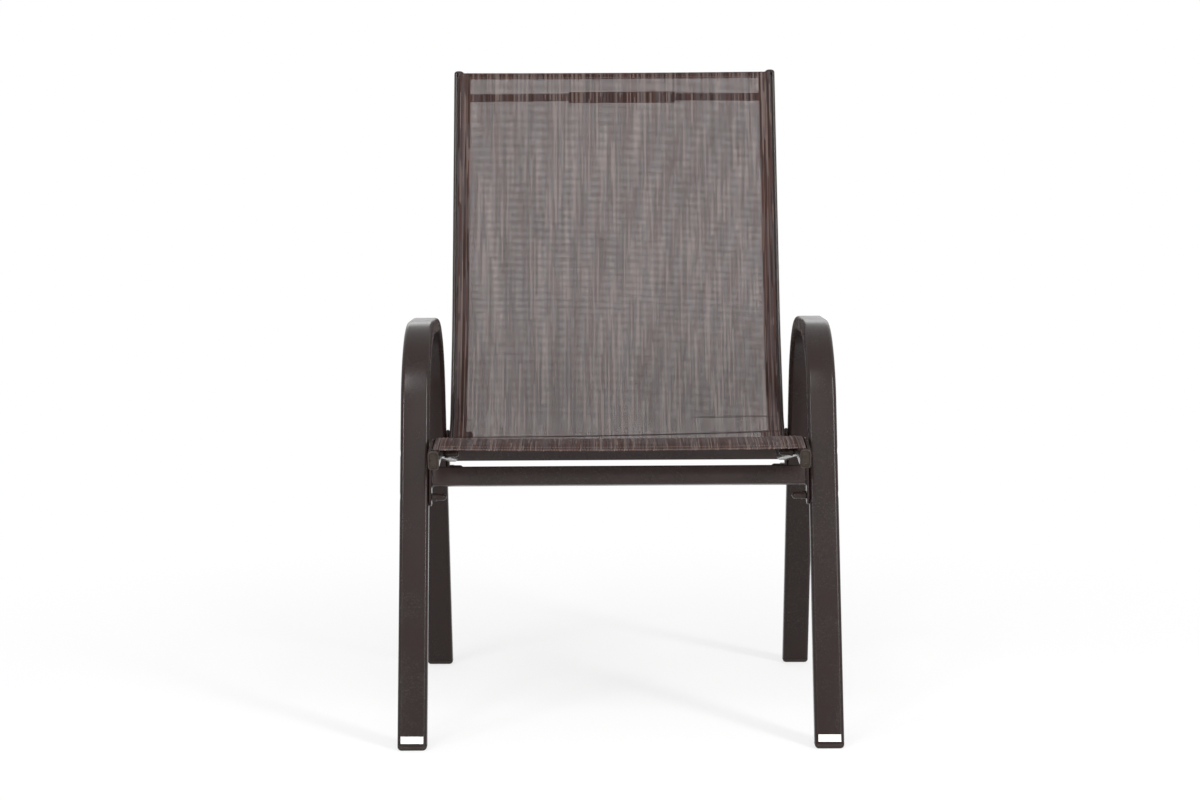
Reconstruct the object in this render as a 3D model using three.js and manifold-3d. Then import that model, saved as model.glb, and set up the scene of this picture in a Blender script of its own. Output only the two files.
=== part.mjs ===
// Sling patio chair: two bent side frames, two bolted stretchers, and a mesh sling held
// between two L-shaped rails. Millimetres, +Z up. The chair faces -Y and stands on Z = 0.
import * as THREE from 'three';
import { mergeVertices } from 'three/addons/utils/BufferGeometryUtils.js';
import Module from 'manifold-3d';

const wasm = await Module();
wasm.setup();

// Overall sizes
const chairWidth = 574;
const footprintDepth = 568;
const armHeight = 537;
const frontLegLean = THREE.MathUtils.degToRad(15.6);
const rearLegLean = THREE.MathUtils.degToRad(14.4);
const armBendRadius = 127;

// Clearances
const fit = 0.3;
const overrun = 20;

// Side frame tube
const legWidth = 38;
const legThickness = 20;
const legCorner = 5.8;
const legWall = 1.5;

// Foot caps
const footHeight = 6;
const footCorner = 4.9;
const footPlugLength = 14;

// Sling rail: tube, path and slot
const railWidth = 14;
const railDepth = 25;
const railCorner = 3;
const railWall = 1.4;
const railTopHeight = 885;
const railFrontReach = 10;
const railFrontHeight = 374;
const seatCrestReach = 68;
const seatCrestHeight = 383.5;
const seatBackReach = 452;
const seatBackHeight = 331;
const lumbarReach = 547;
const lumbarHeight = 509;
const backLean = THREE.MathUtils.degToRad(18.2);
const crestBendRadius = 180;
const seatBackBendRadius = 92;
const lumbarBendRadius = 400;
const slotInset = 6;
const slotWall = 1.6;
const railCapThickness = 2;
const railCapDome = 3;
const railPlugLength = 12;

// Sling and its splines
const slingThickness = 0.8;
const slingSag = 2;
const splineDiameter = 4;
const slingFrontInset = 1.5;
const slingTopInset = 0.5;
const splineInset = 4;

// Stretchers and their end plates
const stretcherHeight = 25;
const stretcherDepth = 16;
const stretcherCorner = 3;
const stretcherWall = 1.5;
const plateThickness = 3.3;
const plateWidth = 18;
const plateTopMargin = 8;
const plateBottomMargin = 12;
const frontBoltSpacing = 57.5;
const rearBoltSpacing = 52;
const railBoltDrop = 2.2;
const stretcherDrop = { front: 1.8, rear: 0 };

// Fasteners
const boltDiameter = 6;
const boltHeadDiameter = 11.4;
const boltHeadHeight = 3;
const washerDiameter = 12.6;
const washerThickness = 1;
const dimpleWall = 1.3;
const nutAcross = 10;
const nutHexLength = 6;
const nutLength = 19;
const nutDomeDiameter = 9.2;
const nutBoreDepth = 13;
const spacerDiameter = 14;
const spacerThickness = 1.3;
const boltEndInNut = 11;

// Top spreader
const spreaderDrop = 33.5;
const barDiameter = 12;
const barSeat = 7;
const barGap = 10;
const sleeveDiameter = 17;
const sleeveLength = 162;
const sleeveShift = 11.4;
const ringDiameter = 19.6;
const ringWidth = 5;
const ringReach = 60;

// Worked out across the chair, from the outer face of a leg inwards
const legCentre = (chairWidth - legWidth) / 2;
const legInner = legCentre - legWidth / 2;
const plateOuter = legInner - fit;
const plateInner = plateOuter - plateThickness;
const spacerOuter = plateInner - fit;
const railOuter = spacerOuter - spacerThickness - fit;
const railCentre = railOuter - railWidth / 2;
const railInner = railOuter - railWidth;
const slotCentre = railOuter - slotInset;

// Worked out across a rail's section, from its centre towards the sitter
const slotHalfWidth = slingThickness / 2 + fit;
const splinePocket = splineDiameter / 2 + fit;
const pocketOuter = splinePocket + slingThickness;
const channelRadius = pocketOuter + fit;
const channelDepth = railDepth / 2 - slotWall - channelRadius;
const cellTop = channelDepth - channelRadius - railWall;
const cellBottom = railWall - railDepth / 2;
const cellDepth = (cellTop + cellBottom) / 2;
const slingUnder = railDepth / 2 + fit;
const slingOver = slingUnder + slingThickness;

// Worked out at a bolt, along the bolt from the outer face of the leg inwards
const headStart = fit;
const washerStart = headStart + boltHeadHeight + fit;
const dimpleDepth = washerStart + washerThickness + fit;
const dimpleRadius = washerDiameter / 2 + fit;
const boltHole = boltDiameter / 2 + fit;

// Smoothness
const cornerSteps = 2;
const hollowSteps = 1;
const channelSteps = 7;
const splineSides = 6;
const pocketSides = 8;
const roundSides = 12;
const armBendSteps = 9;
const railBendSteps = [3, 8, 3];

const frameFinish = new THREE.MeshStandardMaterial({ color: '#413936', roughness: 0.45, metalness: 0.3 });
const railFinish = new THREE.MeshStandardMaterial({ color: '#3d3735', roughness: 0.45, metalness: 0.3 });
const capFinish = new THREE.MeshStandardMaterial({ color: '#38332b', roughness: 0.55, metalness: 0 });
const footFinish = new THREE.MeshStandardMaterial({ color: '#2b2624', roughness: 0.6, metalness: 0 });
const slingFinish = new THREE.MeshStandardMaterial({ color: '#6f6461', roughness: 0.8, metalness: 0 });
const splineFinish = new THREE.MeshStandardMaterial({ color: '#5b5552', roughness: 0.5, metalness: 0 });
const boltFinish = new THREE.MeshStandardMaterial({ color: '#2f2c2b', roughness: 0.4, metalness: 0.7 });
const nutFinish = new THREE.MeshStandardMaterial({ color: '#39332f', roughness: 0.4, metalness: 0.2 });

// Every side view point is a Vector2 of reach from the front foot (Y) and height (Z).
const sidePoint = (reach, height) => new THREE.Vector2(reach, height);

// The direction a quarter turn from a heading: above a forward run, in front of a rising one.
const sideways = (heading) => new THREE.Vector2(-heading.y, heading.x);

function shifted(point, heading, distance) {
  return point.clone().addScaledVector(heading, distance);
}

// Stations along straight runs joined by round bends, each with a point and a heading.
function bentLine(corners, radii, steps) {
  const last = corners.length - 1;
  const stations = [];
  corners.forEach((corner, index) => {
    if (index === 0 || index === last) {
      const from = corners[Math.max(index - 1, 0)];
      const to = corners[Math.min(index + 1, last)];
      stations.push({ point: corner.clone(), heading: to.clone().sub(from).normalize() });
      return;
    }
    const before = corner.clone().sub(corners[index - 1]).normalize();
    const after = corners[index + 1].clone().sub(corner).normalize();
    const turn = Math.atan2(before.cross(after), before.dot(after));
    const radius = radii[index - 1] * Math.sign(turn);
    const start = shifted(corner, before, -radius * Math.tan(turn / 2));
    const centre = shifted(start, sideways(before), radius);
    for (let step = 0; step <= steps[index - 1]; step += 1) {
      const heading = before.clone().rotateAround(new THREE.Vector2(), (turn * step) / steps[index - 1]);
      stations.push({ point: shifted(centre, sideways(heading), -radius), heading });
    }
  });
  return stations;
}

// A line cut back, or with negative amounts lengthened, along its straight ends.
function trimmed(stations, startCut, endCut) {
  const first = stations[0];
  const last = stations[stations.length - 1];
  const start = { point: shifted(first.point, first.heading, startCut), heading: first.heading };
  const end = { point: shifted(last.point, last.heading, -endCut), heading: last.heading };
  return [start, ...stations.slice(1, -1), end];
}

// A path that a section is carried along, one ring of the section at each station.
class BentPath extends THREE.Curve {
  constructor(stations, across) {
    super();
    this.stations = stations;
    this.across = across;
  }

  station(share) {
    return this.stations[Math.round(share * (this.stations.length - 1))];
  }

  getPointAt(share) {
    const { point } = this.station(share);
    return new THREE.Vector3(this.across, point.x, point.y);
  }

  getTangentAt(share) {
    const { heading } = this.station(share);
    return new THREE.Vector3(0, heading.x, heading.y);
  }
}

// Sections are drawn across the chair (x) and towards the sitter (y), and swept along a line.
function sweep(outline, holes, stations, across) {
  const wound = (points, clockwise) => {
    const mirrored = points.map((point) => new THREE.Vector2(-point.x, point.y));
    return THREE.ShapeUtils.isClockWise(mirrored) === clockwise ? mirrored : mirrored.reverse();
  };
  const shape = new THREE.Shape(wound(outline, false));
  holes.forEach((hole) => shape.holes.push(new THREE.Path(wound(hole, true))));
  const extrudePath = new BentPath(stations, across);
  return new THREE.ExtrudeGeometry(shape, { steps: stations.length - 1, bevelEnabled: false, extrudePath });
}

function arc(centreX, centreY, radius, startAngle, endAngle, steps) {
  const points = [];
  for (let step = 0; step <= steps; step += 1) {
    const angle = startAngle + ((endAngle - startAngle) * step) / steps;
    points.push(new THREE.Vector2(centreX + radius * Math.cos(angle), centreY + radius * Math.sin(angle)));
  }
  return points;
}

function circle(centreX, centreY, radius, sides) {
  return arc(centreX, centreY, radius, 0, 2 * Math.PI, sides).slice(0, -1);
}

// A rounded rectangle about a centre, starting at its top right corner's right end.
function roundedRect(width, height, corner, centreY = 0, steps = cornerSteps) {
  const x = width / 2 - corner;
  const y = height / 2 - corner;
  const quarter = Math.PI / 2;
  return [
    ...arc(x, centreY + y, corner, 0, quarter, steps),
    ...arc(-x, centreY + y, corner, quarter, 2 * quarter, steps),
    ...arc(-x, centreY - y, corner, 2 * quarter, 3 * quarter, steps),
    ...arc(x, centreY - y, corner, 3 * quarter, 4 * quarter, steps),
  ];
}

function solidOf(geometry) {
  const bare = geometry.clone();
  bare.deleteAttribute('normal');
  bare.deleteAttribute('uv');
  const merged = mergeVertices(bare);
  const vertProperties = new Float32Array(merged.attributes.position.array);
  const triVerts = new Uint32Array(merged.index.array);
  return new wasm.Manifold(new wasm.Mesh({ numProp: 3, vertProperties, triVerts }));
}

function geometryOf(solid) {
  const { vertProperties, triVerts } = solid.getMesh();
  const geometry = new THREE.BufferGeometry();
  geometry.setAttribute('position', new THREE.BufferAttribute(new Float32Array(vertProperties), 3));
  geometry.setIndex(new THREE.BufferAttribute(new Uint32Array(triVerts), 1));
  geometry.computeVertexNormals();
  return geometry;
}

// A turned piece along X, from a profile of radius (x) and distance along the axis (y).
function turned(profile, sides = roundSides) {
  const geometry = new THREE.LatheGeometry(profile, sides);
  return geometry.rotateZ(-Math.PI / 2);
}

const profilePoints = (pairs) => pairs.map(([radius, along]) => new THREE.Vector2(radius, along));

// A plain pin along X, from one distance to another.
function pin(radius, start, end, sides = roundSides) {
  return turned(profilePoints([[0, start], [radius, start], [radius, end], [0, end]]), sides);
}

// A turned piece set at a place in the side view, its axis pointing to the chair's outside.
function outwards(geometry, side, place) {
  const facing = side > 0 ? geometry : geometry.rotateZ(Math.PI);
  return facing.translate(0, place.x, place.y);
}

const sides = [{ name: 'left', side: -1 }, { name: 'right', side: 1 }];
const ends = ['front', 'rear'];

// The side view: leg lines, rails, and where each rail is bolted to each leg
const halfThicknessAlongFloor = (lean) => legThickness / 2 / Math.cos(lean);
const frontLegUp = sidePoint(Math.sin(frontLegLean), Math.cos(frontLegLean));
const rearLegUp = sidePoint(-Math.sin(rearLegLean), Math.cos(rearLegLean));
const frontLegFoot = sidePoint(halfThicknessAlongFloor(frontLegLean), 0);
const rearLegFoot = sidePoint(footprintDepth - halfThicknessAlongFloor(rearLegLean), 0);
const armLine = armHeight - legThickness / 2;
const legs = {
  front: { foot: frontLegFoot, up: frontLegUp },
  rear: { foot: rearLegFoot, up: rearLegUp },
};

const armCorner = ({ foot, up }) => shifted(foot, up, armLine / up.y);
const sideFrameLine = bentLine(
  [
    shifted(frontLegFoot, frontLegUp, -overrun),
    armCorner(legs.front),
    armCorner(legs.rear),
    shifted(rearLegFoot, rearLegUp, -overrun),
  ],
  [armBendRadius, armBendRadius],
  [armBendSteps, armBendSteps],
);

const backTopReach = lumbarReach + (railTopHeight - lumbarHeight) * Math.tan(backLean);
const railLine = bentLine(
  [
    sidePoint(railFrontReach, railFrontHeight),
    sidePoint(seatCrestReach, seatCrestHeight),
    sidePoint(seatBackReach, seatBackHeight),
    sidePoint(lumbarReach, lumbarHeight),
    sidePoint(backTopReach, railTopHeight),
  ],
  [crestBendRadius, seatBackBendRadius, lumbarBendRadius],
  railBendSteps,
);

// Every place where one run of points crosses another, in order along the first.
function crossings(run, other) {
  const found = [];
  run.slice(1).forEach((to, index) => {
    const from = run[index];
    const along = to.clone().sub(from);
    other.slice(1).forEach((otherTo, otherIndex) => {
      const otherFrom = other[otherIndex];
      const otherAlong = otherTo.clone().sub(otherFrom);
      const between = otherFrom.clone().sub(from);
      const share = between.cross(otherAlong) / along.cross(otherAlong);
      const otherShare = between.cross(along) / along.cross(otherAlong);
      if (share > 0 && share <= 1 && otherShare > 0 && otherShare <= 1) {
        found.push(shifted(from, along, share));
      }
    });
  });
  return found;
}

// A line just below the middle of a rail's hollow crosses the middle of the side frame's tube
// at each leg.
const boltDepth = cellDepth - railBoltDrop;
const railMiddle = railLine.map(({ point, heading }) => shifted(point, sideways(heading), boltDepth));
const frameMiddle = sideFrameLine.map(({ point }) => point);
const railCrossings = crossings(railMiddle, frameMiddle);
const upperBolts = { front: railCrossings[0], rear: railCrossings[railCrossings.length - 1] };

// The first place along a run of points that lies at a distance from a centre.
function firstAtDistance(run, centre, distance) {
  const found = run.slice(1).flatMap((to, index) => {
    const from = run[index];
    const along = to.clone().sub(from);
    const away = from.clone().sub(centre);
    const middle = along.dot(away) / along.lengthSq();
    const reach = middle * middle - (away.lengthSq() - distance * distance) / along.lengthSq();
    const share = -middle - Math.sqrt(reach);
    return share > 0 && share <= 1 ? [shifted(from, along, share)] : [];
  });
  return found[0];
}

const lowerBolts = {
  front: firstAtDistance(frameMiddle, upperBolts.front, frontBoltSpacing),
  rear: firstAtDistance([...frameMiddle].reverse(), upperBolts.rear, rearBoltSpacing),
};
const plateCentre = (end) => upperBolts[end].clone().lerp(lowerBolts[end], 0.5);
const plateUp = (end) => upperBolts[end].clone().sub(lowerBolts[end]).normalize();

// How far a plate and its stretcher turn about X, to stand in line with their two bolts.
function plateTurn(end) {
  const up = plateUp(end);
  return -Math.atan2(up.x, up.y);
}

const railTop = railLine[railLine.length - 1];
const spreaderPlace = shifted(
  shifted(railTop.point, railTop.heading, -spreaderDrop),
  sideways(railTop.heading),
  cellDepth,
);

// Side frame: a hollow bent tube with dished bolt seats outside and plain holes inside
const legOutline = roundedRect(legWidth, legThickness, legCorner);
const legHollow = roundedRect(
  legWidth - 2 * legWall,
  legThickness - 2 * legWall,
  legCorner - legWall,
  0,
  hollowSteps,
);

function dish() {
  const face = legWidth / 2;
  const floor = face - dimpleDepth;
  const outer = dimpleRadius + dimpleWall;
  const seat = floor - dimpleWall;
  return turned(profilePoints([
    [boltHole, seat], [outer, seat], [outer, face], [dimpleRadius, face], [dimpleRadius, floor],
    [boltHole, floor], [boltHole, seat],
  ]));
}

function sideFrame(side) {
  const across = side * legCentre;
  const bar = solidOf(sweep(legOutline, [], sideFrameLine, across));
  let frame = bar.subtract(solidOf(sweep(legHollow, [], trimmed(sideFrameLine, -fit, -fit), across)));
  ends.flatMap((end) => [upperBolts[end], lowerBolts[end]]).forEach((place) => {
    const set = (geometry) => outwards(geometry, side, place).translate(across, 0, 0);
    const pocket = solidOf(set(pin(dimpleRadius, legWidth / 2 - dimpleDepth, legWidth / 2 + fit)));
    const hole = solidOf(set(pin(boltHole, -legWidth / 2 - fit, 0)));
    frame = frame.subtract(pocket).subtract(hole).add(solidOf(set(dish())).intersect(bar));
  });
  const below = new THREE.BoxGeometry(2 * legWidth, 2 * footprintDepth, 2 * overrun);
  below.translate(across, footprintDepth / 2, footHeight + fit - overrun);
  return geometryOf(frame.subtract(solidOf(below)));
}

// Foot cap: a block that carries on the leg's outline, with a plug up inside the tube
function footCap(side, { foot, up }) {
  const across = side * legCentre;
  const heading = up.clone();
  const line = [-overrun, 2 * overrun].map((along) => ({ point: shifted(foot, up, along), heading }));
  const profile = new THREE.Shape([
    ...arc(footCorner - legWidth / 2, footCorner, footCorner, Math.PI, 1.5 * Math.PI, cornerSteps + 1),
    ...arc(legWidth / 2 - footCorner, footCorner, footCorner, 1.5 * Math.PI, 2 * Math.PI, cornerSteps + 1),
    new THREE.Vector2(legWidth / 2, footHeight),
    new THREE.Vector2(-legWidth / 2, footHeight),
  ]);
  const slab = new THREE.ExtrudeGeometry(profile, { depth: 2 * footprintDepth, bevelEnabled: false });
  slab.rotateX(Math.PI / 2).translate(across, 1.5 * footprintDepth, 0);
  const plugWidth = legWidth - 2 * (legWall + fit);
  const plugThickness = legThickness - 2 * (legWall + fit);
  const plugOutline = roundedRect(plugWidth, plugThickness, legCorner - legWall - fit, 0, hollowSteps);
  const plugSlab = new THREE.BoxGeometry(legWidth, 2 * footprintDepth, footPlugLength);
  plugSlab.translate(across, footprintDepth / 2, footHeight - fit + footPlugLength / 2);
  const block = solidOf(sweep(legOutline, [], line, across)).intersect(solidOf(slab));
  const plug = solidOf(sweep(plugOutline, [], line, across)).intersect(solidOf(plugSlab));
  return geometryOf(block.add(plug));
}

// Stretcher: a rectangular tube between the end plates, leaning with its legs
function stretcherLocal(width, height, depth, corner) {
  const section = new THREE.Shape(roundedRect(depth, height, corner));
  const geometry = new THREE.ExtrudeGeometry(section, { depth: width, bevelEnabled: false });
  return geometry.translate(0, 0, -width / 2).rotateX(Math.PI / 2).rotateZ(Math.PI / 2);
}

function stretcher() {
  const length = 2 * (plateInner - fit);
  const outer = stretcherLocal(length, stretcherHeight, stretcherDepth, stretcherCorner);
  const inner = stretcherLocal(
    length + 2 * overrun,
    stretcherHeight - 2 * stretcherWall,
    stretcherDepth - 2 * stretcherWall,
    stretcherCorner - stretcherWall,
  );
  return geometryOf(solidOf(outer).subtract(solidOf(inner)));
}

// End plate: an upright plate with round ends and a hole for each bolt, in the leg's own line
function stretcherPlate(spacing) {
  const topCentre = spacing / 2 + plateTopMargin - plateWidth / 2;
  const bottomCentre = plateWidth / 2 - plateBottomMargin - spacing / 2;
  const shape = new THREE.Shape([
    ...arc(0, topCentre, plateWidth / 2, 0, Math.PI, roundSides / 2),
    ...arc(0, bottomCentre, plateWidth / 2, Math.PI, 2 * Math.PI, roundSides / 2),
  ]);
  [-1, 1].forEach((end) => {
    shape.holes.push(new THREE.Path(circle(0, (end * spacing) / 2, boltHole, roundSides)));
  });
  const geometry = new THREE.ExtrudeGeometry(shape, { depth: plateThickness, bevelEnabled: false });
  return geometry.translate(0, 0, -plateThickness / 2).rotateX(Math.PI / 2).rotateZ(Math.PI / 2);
}

// Rail: an oblong tube with a slot and a round channel for the sling's edge
function railOutline(side) {
  const slot = railWidth / 2 - slotInset;
  const x = railWidth / 2 - railCorner;
  const y = railDepth / 2 - railCorner;
  const quarter = Math.PI / 2;
  const mouth = Math.asin(slotHalfWidth / channelRadius);
  const channelEnd = quarter + 2 * Math.PI - mouth;
  const points = [
    new THREE.Vector2(slot + slotHalfWidth, railDepth / 2),
    ...arc(x, y, railCorner, quarter, 0, cornerSteps),
    ...arc(x, -y, railCorner, 0, -quarter, cornerSteps),
    ...arc(-x, -y, railCorner, -quarter, -2 * quarter, cornerSteps),
    ...arc(-x, y, railCorner, 2 * quarter, quarter, cornerSteps),
    new THREE.Vector2(slot - slotHalfWidth, railDepth / 2),
    ...arc(slot, channelDepth, channelRadius, quarter + mouth, channelEnd, channelSteps),
  ];
  return points.map((point) => new THREE.Vector2(point.x * side, point.y));
}

function railCell(clearance) {
  const width = railWidth - 2 * (railWall + clearance);
  const height = cellTop - cellBottom - 2 * clearance;
  return roundedRect(width, height, railCorner - railWall - clearance, cellDepth, hollowSteps);
}

function slingRail(side) {
  let rail = solidOf(sweep(railOutline(side), [railCell(0)], railLine, side * railCentre));
  Object.values(upperBolts).forEach((place) => {
    const hole = outwards(pin(boltHole, railInner - fit, railOuter + fit), side, place);
    rail = rail.subtract(solidOf(hole));
  });
  const seat = outwards(pin(barDiameter / 2 + fit, railInner - fit, railCentre), side, spreaderPlace);
  return geometryOf(rail.subtract(solidOf(seat)));
}

// Rail end caps: a plate over the tube's end, domed at the top, with a plug in the hollow
function railCap(side, station, away, dome) {
  const across = side * railCentre;
  const face = shifted(station.point, station.heading, away * fit);
  const line = (from, to) => [from, to]
    .sort((a, b) => a - b)
    .map((along) => ({ point: shifted(face, station.heading, along), heading: station.heading }));
  const outline = roundedRect(railWidth, railDepth, railCorner);
  const plug = solidOf(sweep(railCell(fit), [], line(-away * railPlugLength, away * fit), across));
  const plate = solidOf(sweep(outline, [], line(0, away * railCapThickness), across));
  const cap = plate.add(plug);
  if (dome === 0) {
    return geometryOf(cap);
  }
  const inset = dome * (1 - Math.SQRT1_2);
  const steps = [
    { shrink: 0, rise: railCapThickness - fit },
    { shrink: inset, rise: railCapThickness + dome - inset },
    { shrink: dome, rise: railCapThickness + dome },
  ];
  const layers = steps.slice(1).map(({ shrink, rise }) => {
    const width = railWidth - 2 * shrink;
    const layer = roundedRect(width, railDepth - 2 * shrink, Math.min(railCorner, width / 2 - fit));
    return solidOf(sweep(layer, [], line(0, away * rise), across));
  });
  return geometryOf(layers.reduce((whole, layer) => whole.add(layer), cap));
}

// Sling: one sheet from slot to slot, each edge passing down its slot into a hem round the spline
function slingEdge() {
  const stem = Math.asin(slingThickness / 2 / pocketOuter);
  const quarter = Math.PI / 2;
  return [
    new THREE.Vector2(slotCentre + slingThickness / 2, slingOver),
    ...arc(slotCentre, channelDepth, pocketOuter, quarter - stem, stem - 3 * quarter, channelSteps),
    new THREE.Vector2(slotCentre - slingThickness / 2, slingUnder),
  ];
}

function sling() {
  const edge = slingEdge();
  const restingWidth = railInner - fit;
  const sagShares = [0.5, 0, -0.5];
  const sagRow = (height, shares) => shares.map((share) => (
    new THREE.Vector2(restingWidth * share, height - slingSag * (1 - share * share))
  ));
  const inner = new THREE.Vector2(restingWidth, slingUnder);
  const innerTop = new THREE.Vector2(restingWidth, slingOver);
  const mirror = (point) => new THREE.Vector2(-point.x, point.y);
  const outline = [
    innerTop, ...edge, inner, ...sagRow(slingUnder, sagShares),
    mirror(inner), ...edge.map(mirror).reverse(), mirror(innerTop),
    ...sagRow(slingOver, sagShares).reverse(),
  ];
  const pocket = (side) => circle(side * slotCentre, channelDepth, splinePocket, pocketSides);
  const line = trimmed(railLine, slingFrontInset, slingTopInset);
  return sweep(outline, [pocket(-1), pocket(1)], line, 0);
}

function slingSpline(side) {
  const section = circle(0, channelDepth, splineDiameter / 2, splineSides);
  return sweep(section, [], trimmed(railLine, splineInset, splineInset), side * slotCentre);
}

// Fasteners, each drawn with its axis along X and its head to the outside
function bolt(length) {
  const crown = boltHeadHeight / 2;
  return turned(profilePoints([
    [0, -length], [boltDiameter / 2, -length], [boltDiameter / 2, 0], [boltHeadDiameter / 2, 0],
    [boltHeadDiameter / 2, boltHeadHeight - crown], [boltHeadDiameter / 4, boltHeadHeight],
    [0, boltHeadHeight],
  ]));
}

function ring(innerRadius, outerRadius, thickness, steps = roundSides) {
  return turned(profilePoints([
    [innerRadius, 0], [outerRadius, 0], [outerRadius, thickness], [innerRadius, thickness], [innerRadius, 0],
  ]), steps);
}

// Cap nut: a hexagon against the joint, then a slimmer domed sleeve over the bolt's end
function capNut() {
  const hexRadius = nutAcross / Math.sqrt(3);
  const hexagon = new THREE.CylinderGeometry(hexRadius, hexRadius, nutHexLength, 6);
  hexagon.rotateZ(Math.PI / 2).translate(-nutHexLength / 2, 0, 0);
  const dome = nutDomeDiameter / 2;
  const sleeve = turned([
    new THREE.Vector2(0, -nutLength),
    ...arc(0, dome - nutLength, dome, -Math.PI / 3, 0, cornerSteps + 1),
    new THREE.Vector2(dome, fit - nutHexLength),
    new THREE.Vector2(0, fit - nutHexLength),
  ]);
  const bore = pin(boltHole, -nutBoreDepth, fit);
  return geometryOf(solidOf(hexagon).add(solidOf(sleeve)).subtract(solidOf(bore)));
}

// Spreader: two bars seated in the rails, joined by a sleeve that is clamped by a ring
function spreaderBar(side) {
  const inner = barGap / 2;
  const outer = railInner + railWall + barSeat;
  return outwards(pin(barDiameter / 2, inner, outer), side, spreaderPlace);
}

const chair = new THREE.Group();

function place(name, geometry, material, position = [0, 0, 0], rotation = [0, 0, 0]) {
  const mesh = new THREE.Mesh(geometry, material);
  mesh.name = name;
  mesh.position.set(...position);
  mesh.rotation.set(...rotation);
  chair.add(mesh);
}

// A turned piece at a place in the side view, its origin at a distance across the chair.
function fasten(name, geometry, material, side, across, spot) {
  place(name, geometry, material, [side * across, spot.x, spot.y], [0, 0, side > 0 ? 0 : Math.PI]);
}

sides.forEach(({ name, side }) => {
  place(`side_frame_${name}`, sideFrame(side), frameFinish);
  place(`sling_rail_${name}`, slingRail(side), railFinish);
  place(`rail_cap_front_${name}`, railCap(side, railLine[0], -1, 0), capFinish);
  place(`rail_cap_top_${name}`, railCap(side, railTop, 1, railCapDome), footFinish);
  place(`sling_spline_${name}`, slingSpline(side), splineFinish);
  place(`spreader_bar_${name}`, spreaderBar(side), railFinish);
  ends.forEach((end) => place(`foot_cap_${end}_${name}`, footCap(side, legs[end]), footFinish));
});

place('sling', sling(), slingFinish);

const sleeveBore = barDiameter / 2 + fit;
const sleeveGeometry = ring(sleeveBore, sleeveDiameter / 2, sleeveLength);
const sleeveStart = sleeveShift - sleeveLength / 2;
fasten('spreader_sleeve', sleeveGeometry, railFinish, 1, sleeveStart, spreaderPlace);
const ringGeometry = ring(sleeveDiameter / 2 + fit, ringDiameter / 2, ringWidth);
fasten('spreader_ring', ringGeometry, boltFinish, 1, ringReach - ringWidth / 2, spreaderPlace);

const plateAcross = plateInner + plateThickness / 2;
ends.forEach((end) => {
  const centre = plateCentre(end);
  const lean = [plateTurn(end), 0, 0];
  const middle = shifted(centre, plateUp(end), -stretcherDrop[end]);
  place(`${end}_stretcher`, stretcher(), frameFinish, [0, middle.x, middle.y], lean);
  sides.forEach(({ name, side }) => {
    const spot = [side * plateAcross, centre.x, centre.y];
    const plate = stretcherPlate(upperBolts[end].distanceTo(lowerBolts[end]));
    place(`stretcher_plate_${end}_${name}`, plate, frameFinish, spot, lean);
    const spacer = ring(boltHole, spacerDiameter / 2, spacerThickness);
    const spacerInner = spacerOuter - spacerThickness;
    fasten(`rail_spacer_${end}_${name}`, spacer, capFinish, side, spacerInner, upperBolts[end]);
  });
});

// Each bolt runs from its head in the dish to its end inside the cap nut.
const boltRows = [
  { row: 'upper', spots: upperBolts, nutFace: railInner - fit },
  { row: 'lower', spots: lowerBolts, nutFace: plateInner - fit },
];
const legOuter = chairWidth / 2;
boltRows.forEach(({ row, spots, nutFace }) => {
  const headFace = legOuter - headStart - boltHeadHeight;
  const length = headFace - nutFace + boltEndInNut;
  ends.forEach((end) => {
    sides.forEach(({ name, side }) => {
      const tag = `${end}_${row}_${name}`;
      const washerFace = legOuter - washerStart - washerThickness;
      const washer = ring(boltHole, washerDiameter / 2, washerThickness);
      fasten(`bolt_${tag}`, bolt(length), boltFinish, side, headFace, spots[end]);
      fasten(`washer_${tag}`, washer, boltFinish, side, washerFace, spots[end]);
      fasten(`cap_nut_${tag}`, capNut(), nutFinish, side, nutFace, spots[end]);
    });
  });
});

// The origin is on the floor, below the middle of the whole chair.
const bounds = new THREE.Box3().setFromObject(chair, true);
chair.position.y = -(bounds.min.y + bounds.max.y) / 2;

export default chair;
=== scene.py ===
import math

import bmesh
import bpy
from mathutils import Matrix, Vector


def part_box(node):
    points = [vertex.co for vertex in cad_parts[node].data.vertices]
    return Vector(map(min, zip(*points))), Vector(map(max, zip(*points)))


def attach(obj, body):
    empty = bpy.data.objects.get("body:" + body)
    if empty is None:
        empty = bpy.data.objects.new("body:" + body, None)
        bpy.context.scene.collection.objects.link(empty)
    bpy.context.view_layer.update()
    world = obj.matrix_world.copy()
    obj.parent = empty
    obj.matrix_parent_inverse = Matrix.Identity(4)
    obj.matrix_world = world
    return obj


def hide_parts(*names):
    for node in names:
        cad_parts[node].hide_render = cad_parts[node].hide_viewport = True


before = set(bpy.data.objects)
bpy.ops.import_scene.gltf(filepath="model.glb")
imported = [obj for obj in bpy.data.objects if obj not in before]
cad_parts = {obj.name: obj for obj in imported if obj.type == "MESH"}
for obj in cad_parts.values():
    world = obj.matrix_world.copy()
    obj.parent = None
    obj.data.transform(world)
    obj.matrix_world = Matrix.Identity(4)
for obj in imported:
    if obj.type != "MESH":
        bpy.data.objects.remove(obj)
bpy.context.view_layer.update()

# Side frame tube
CHAIR_WIDTH = 0.574
FOOTPRINT_DEPTH = 0.568
ARM_HEIGHT = 0.537
FRONT_LEG_LEAN = math.radians(15.6)
REAR_LEG_LEAN = math.radians(14.4)
ARM_BEND = 0.127
LEG_WIDTH = 0.038
LEG_THICKNESS = 0.020
LEG_CORNER = 0.0058

# Foot caps
FOOT_HEIGHT = 0.006
FOOT_ROUND = 0.0049
PLUG_WALL = 0.0018

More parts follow.
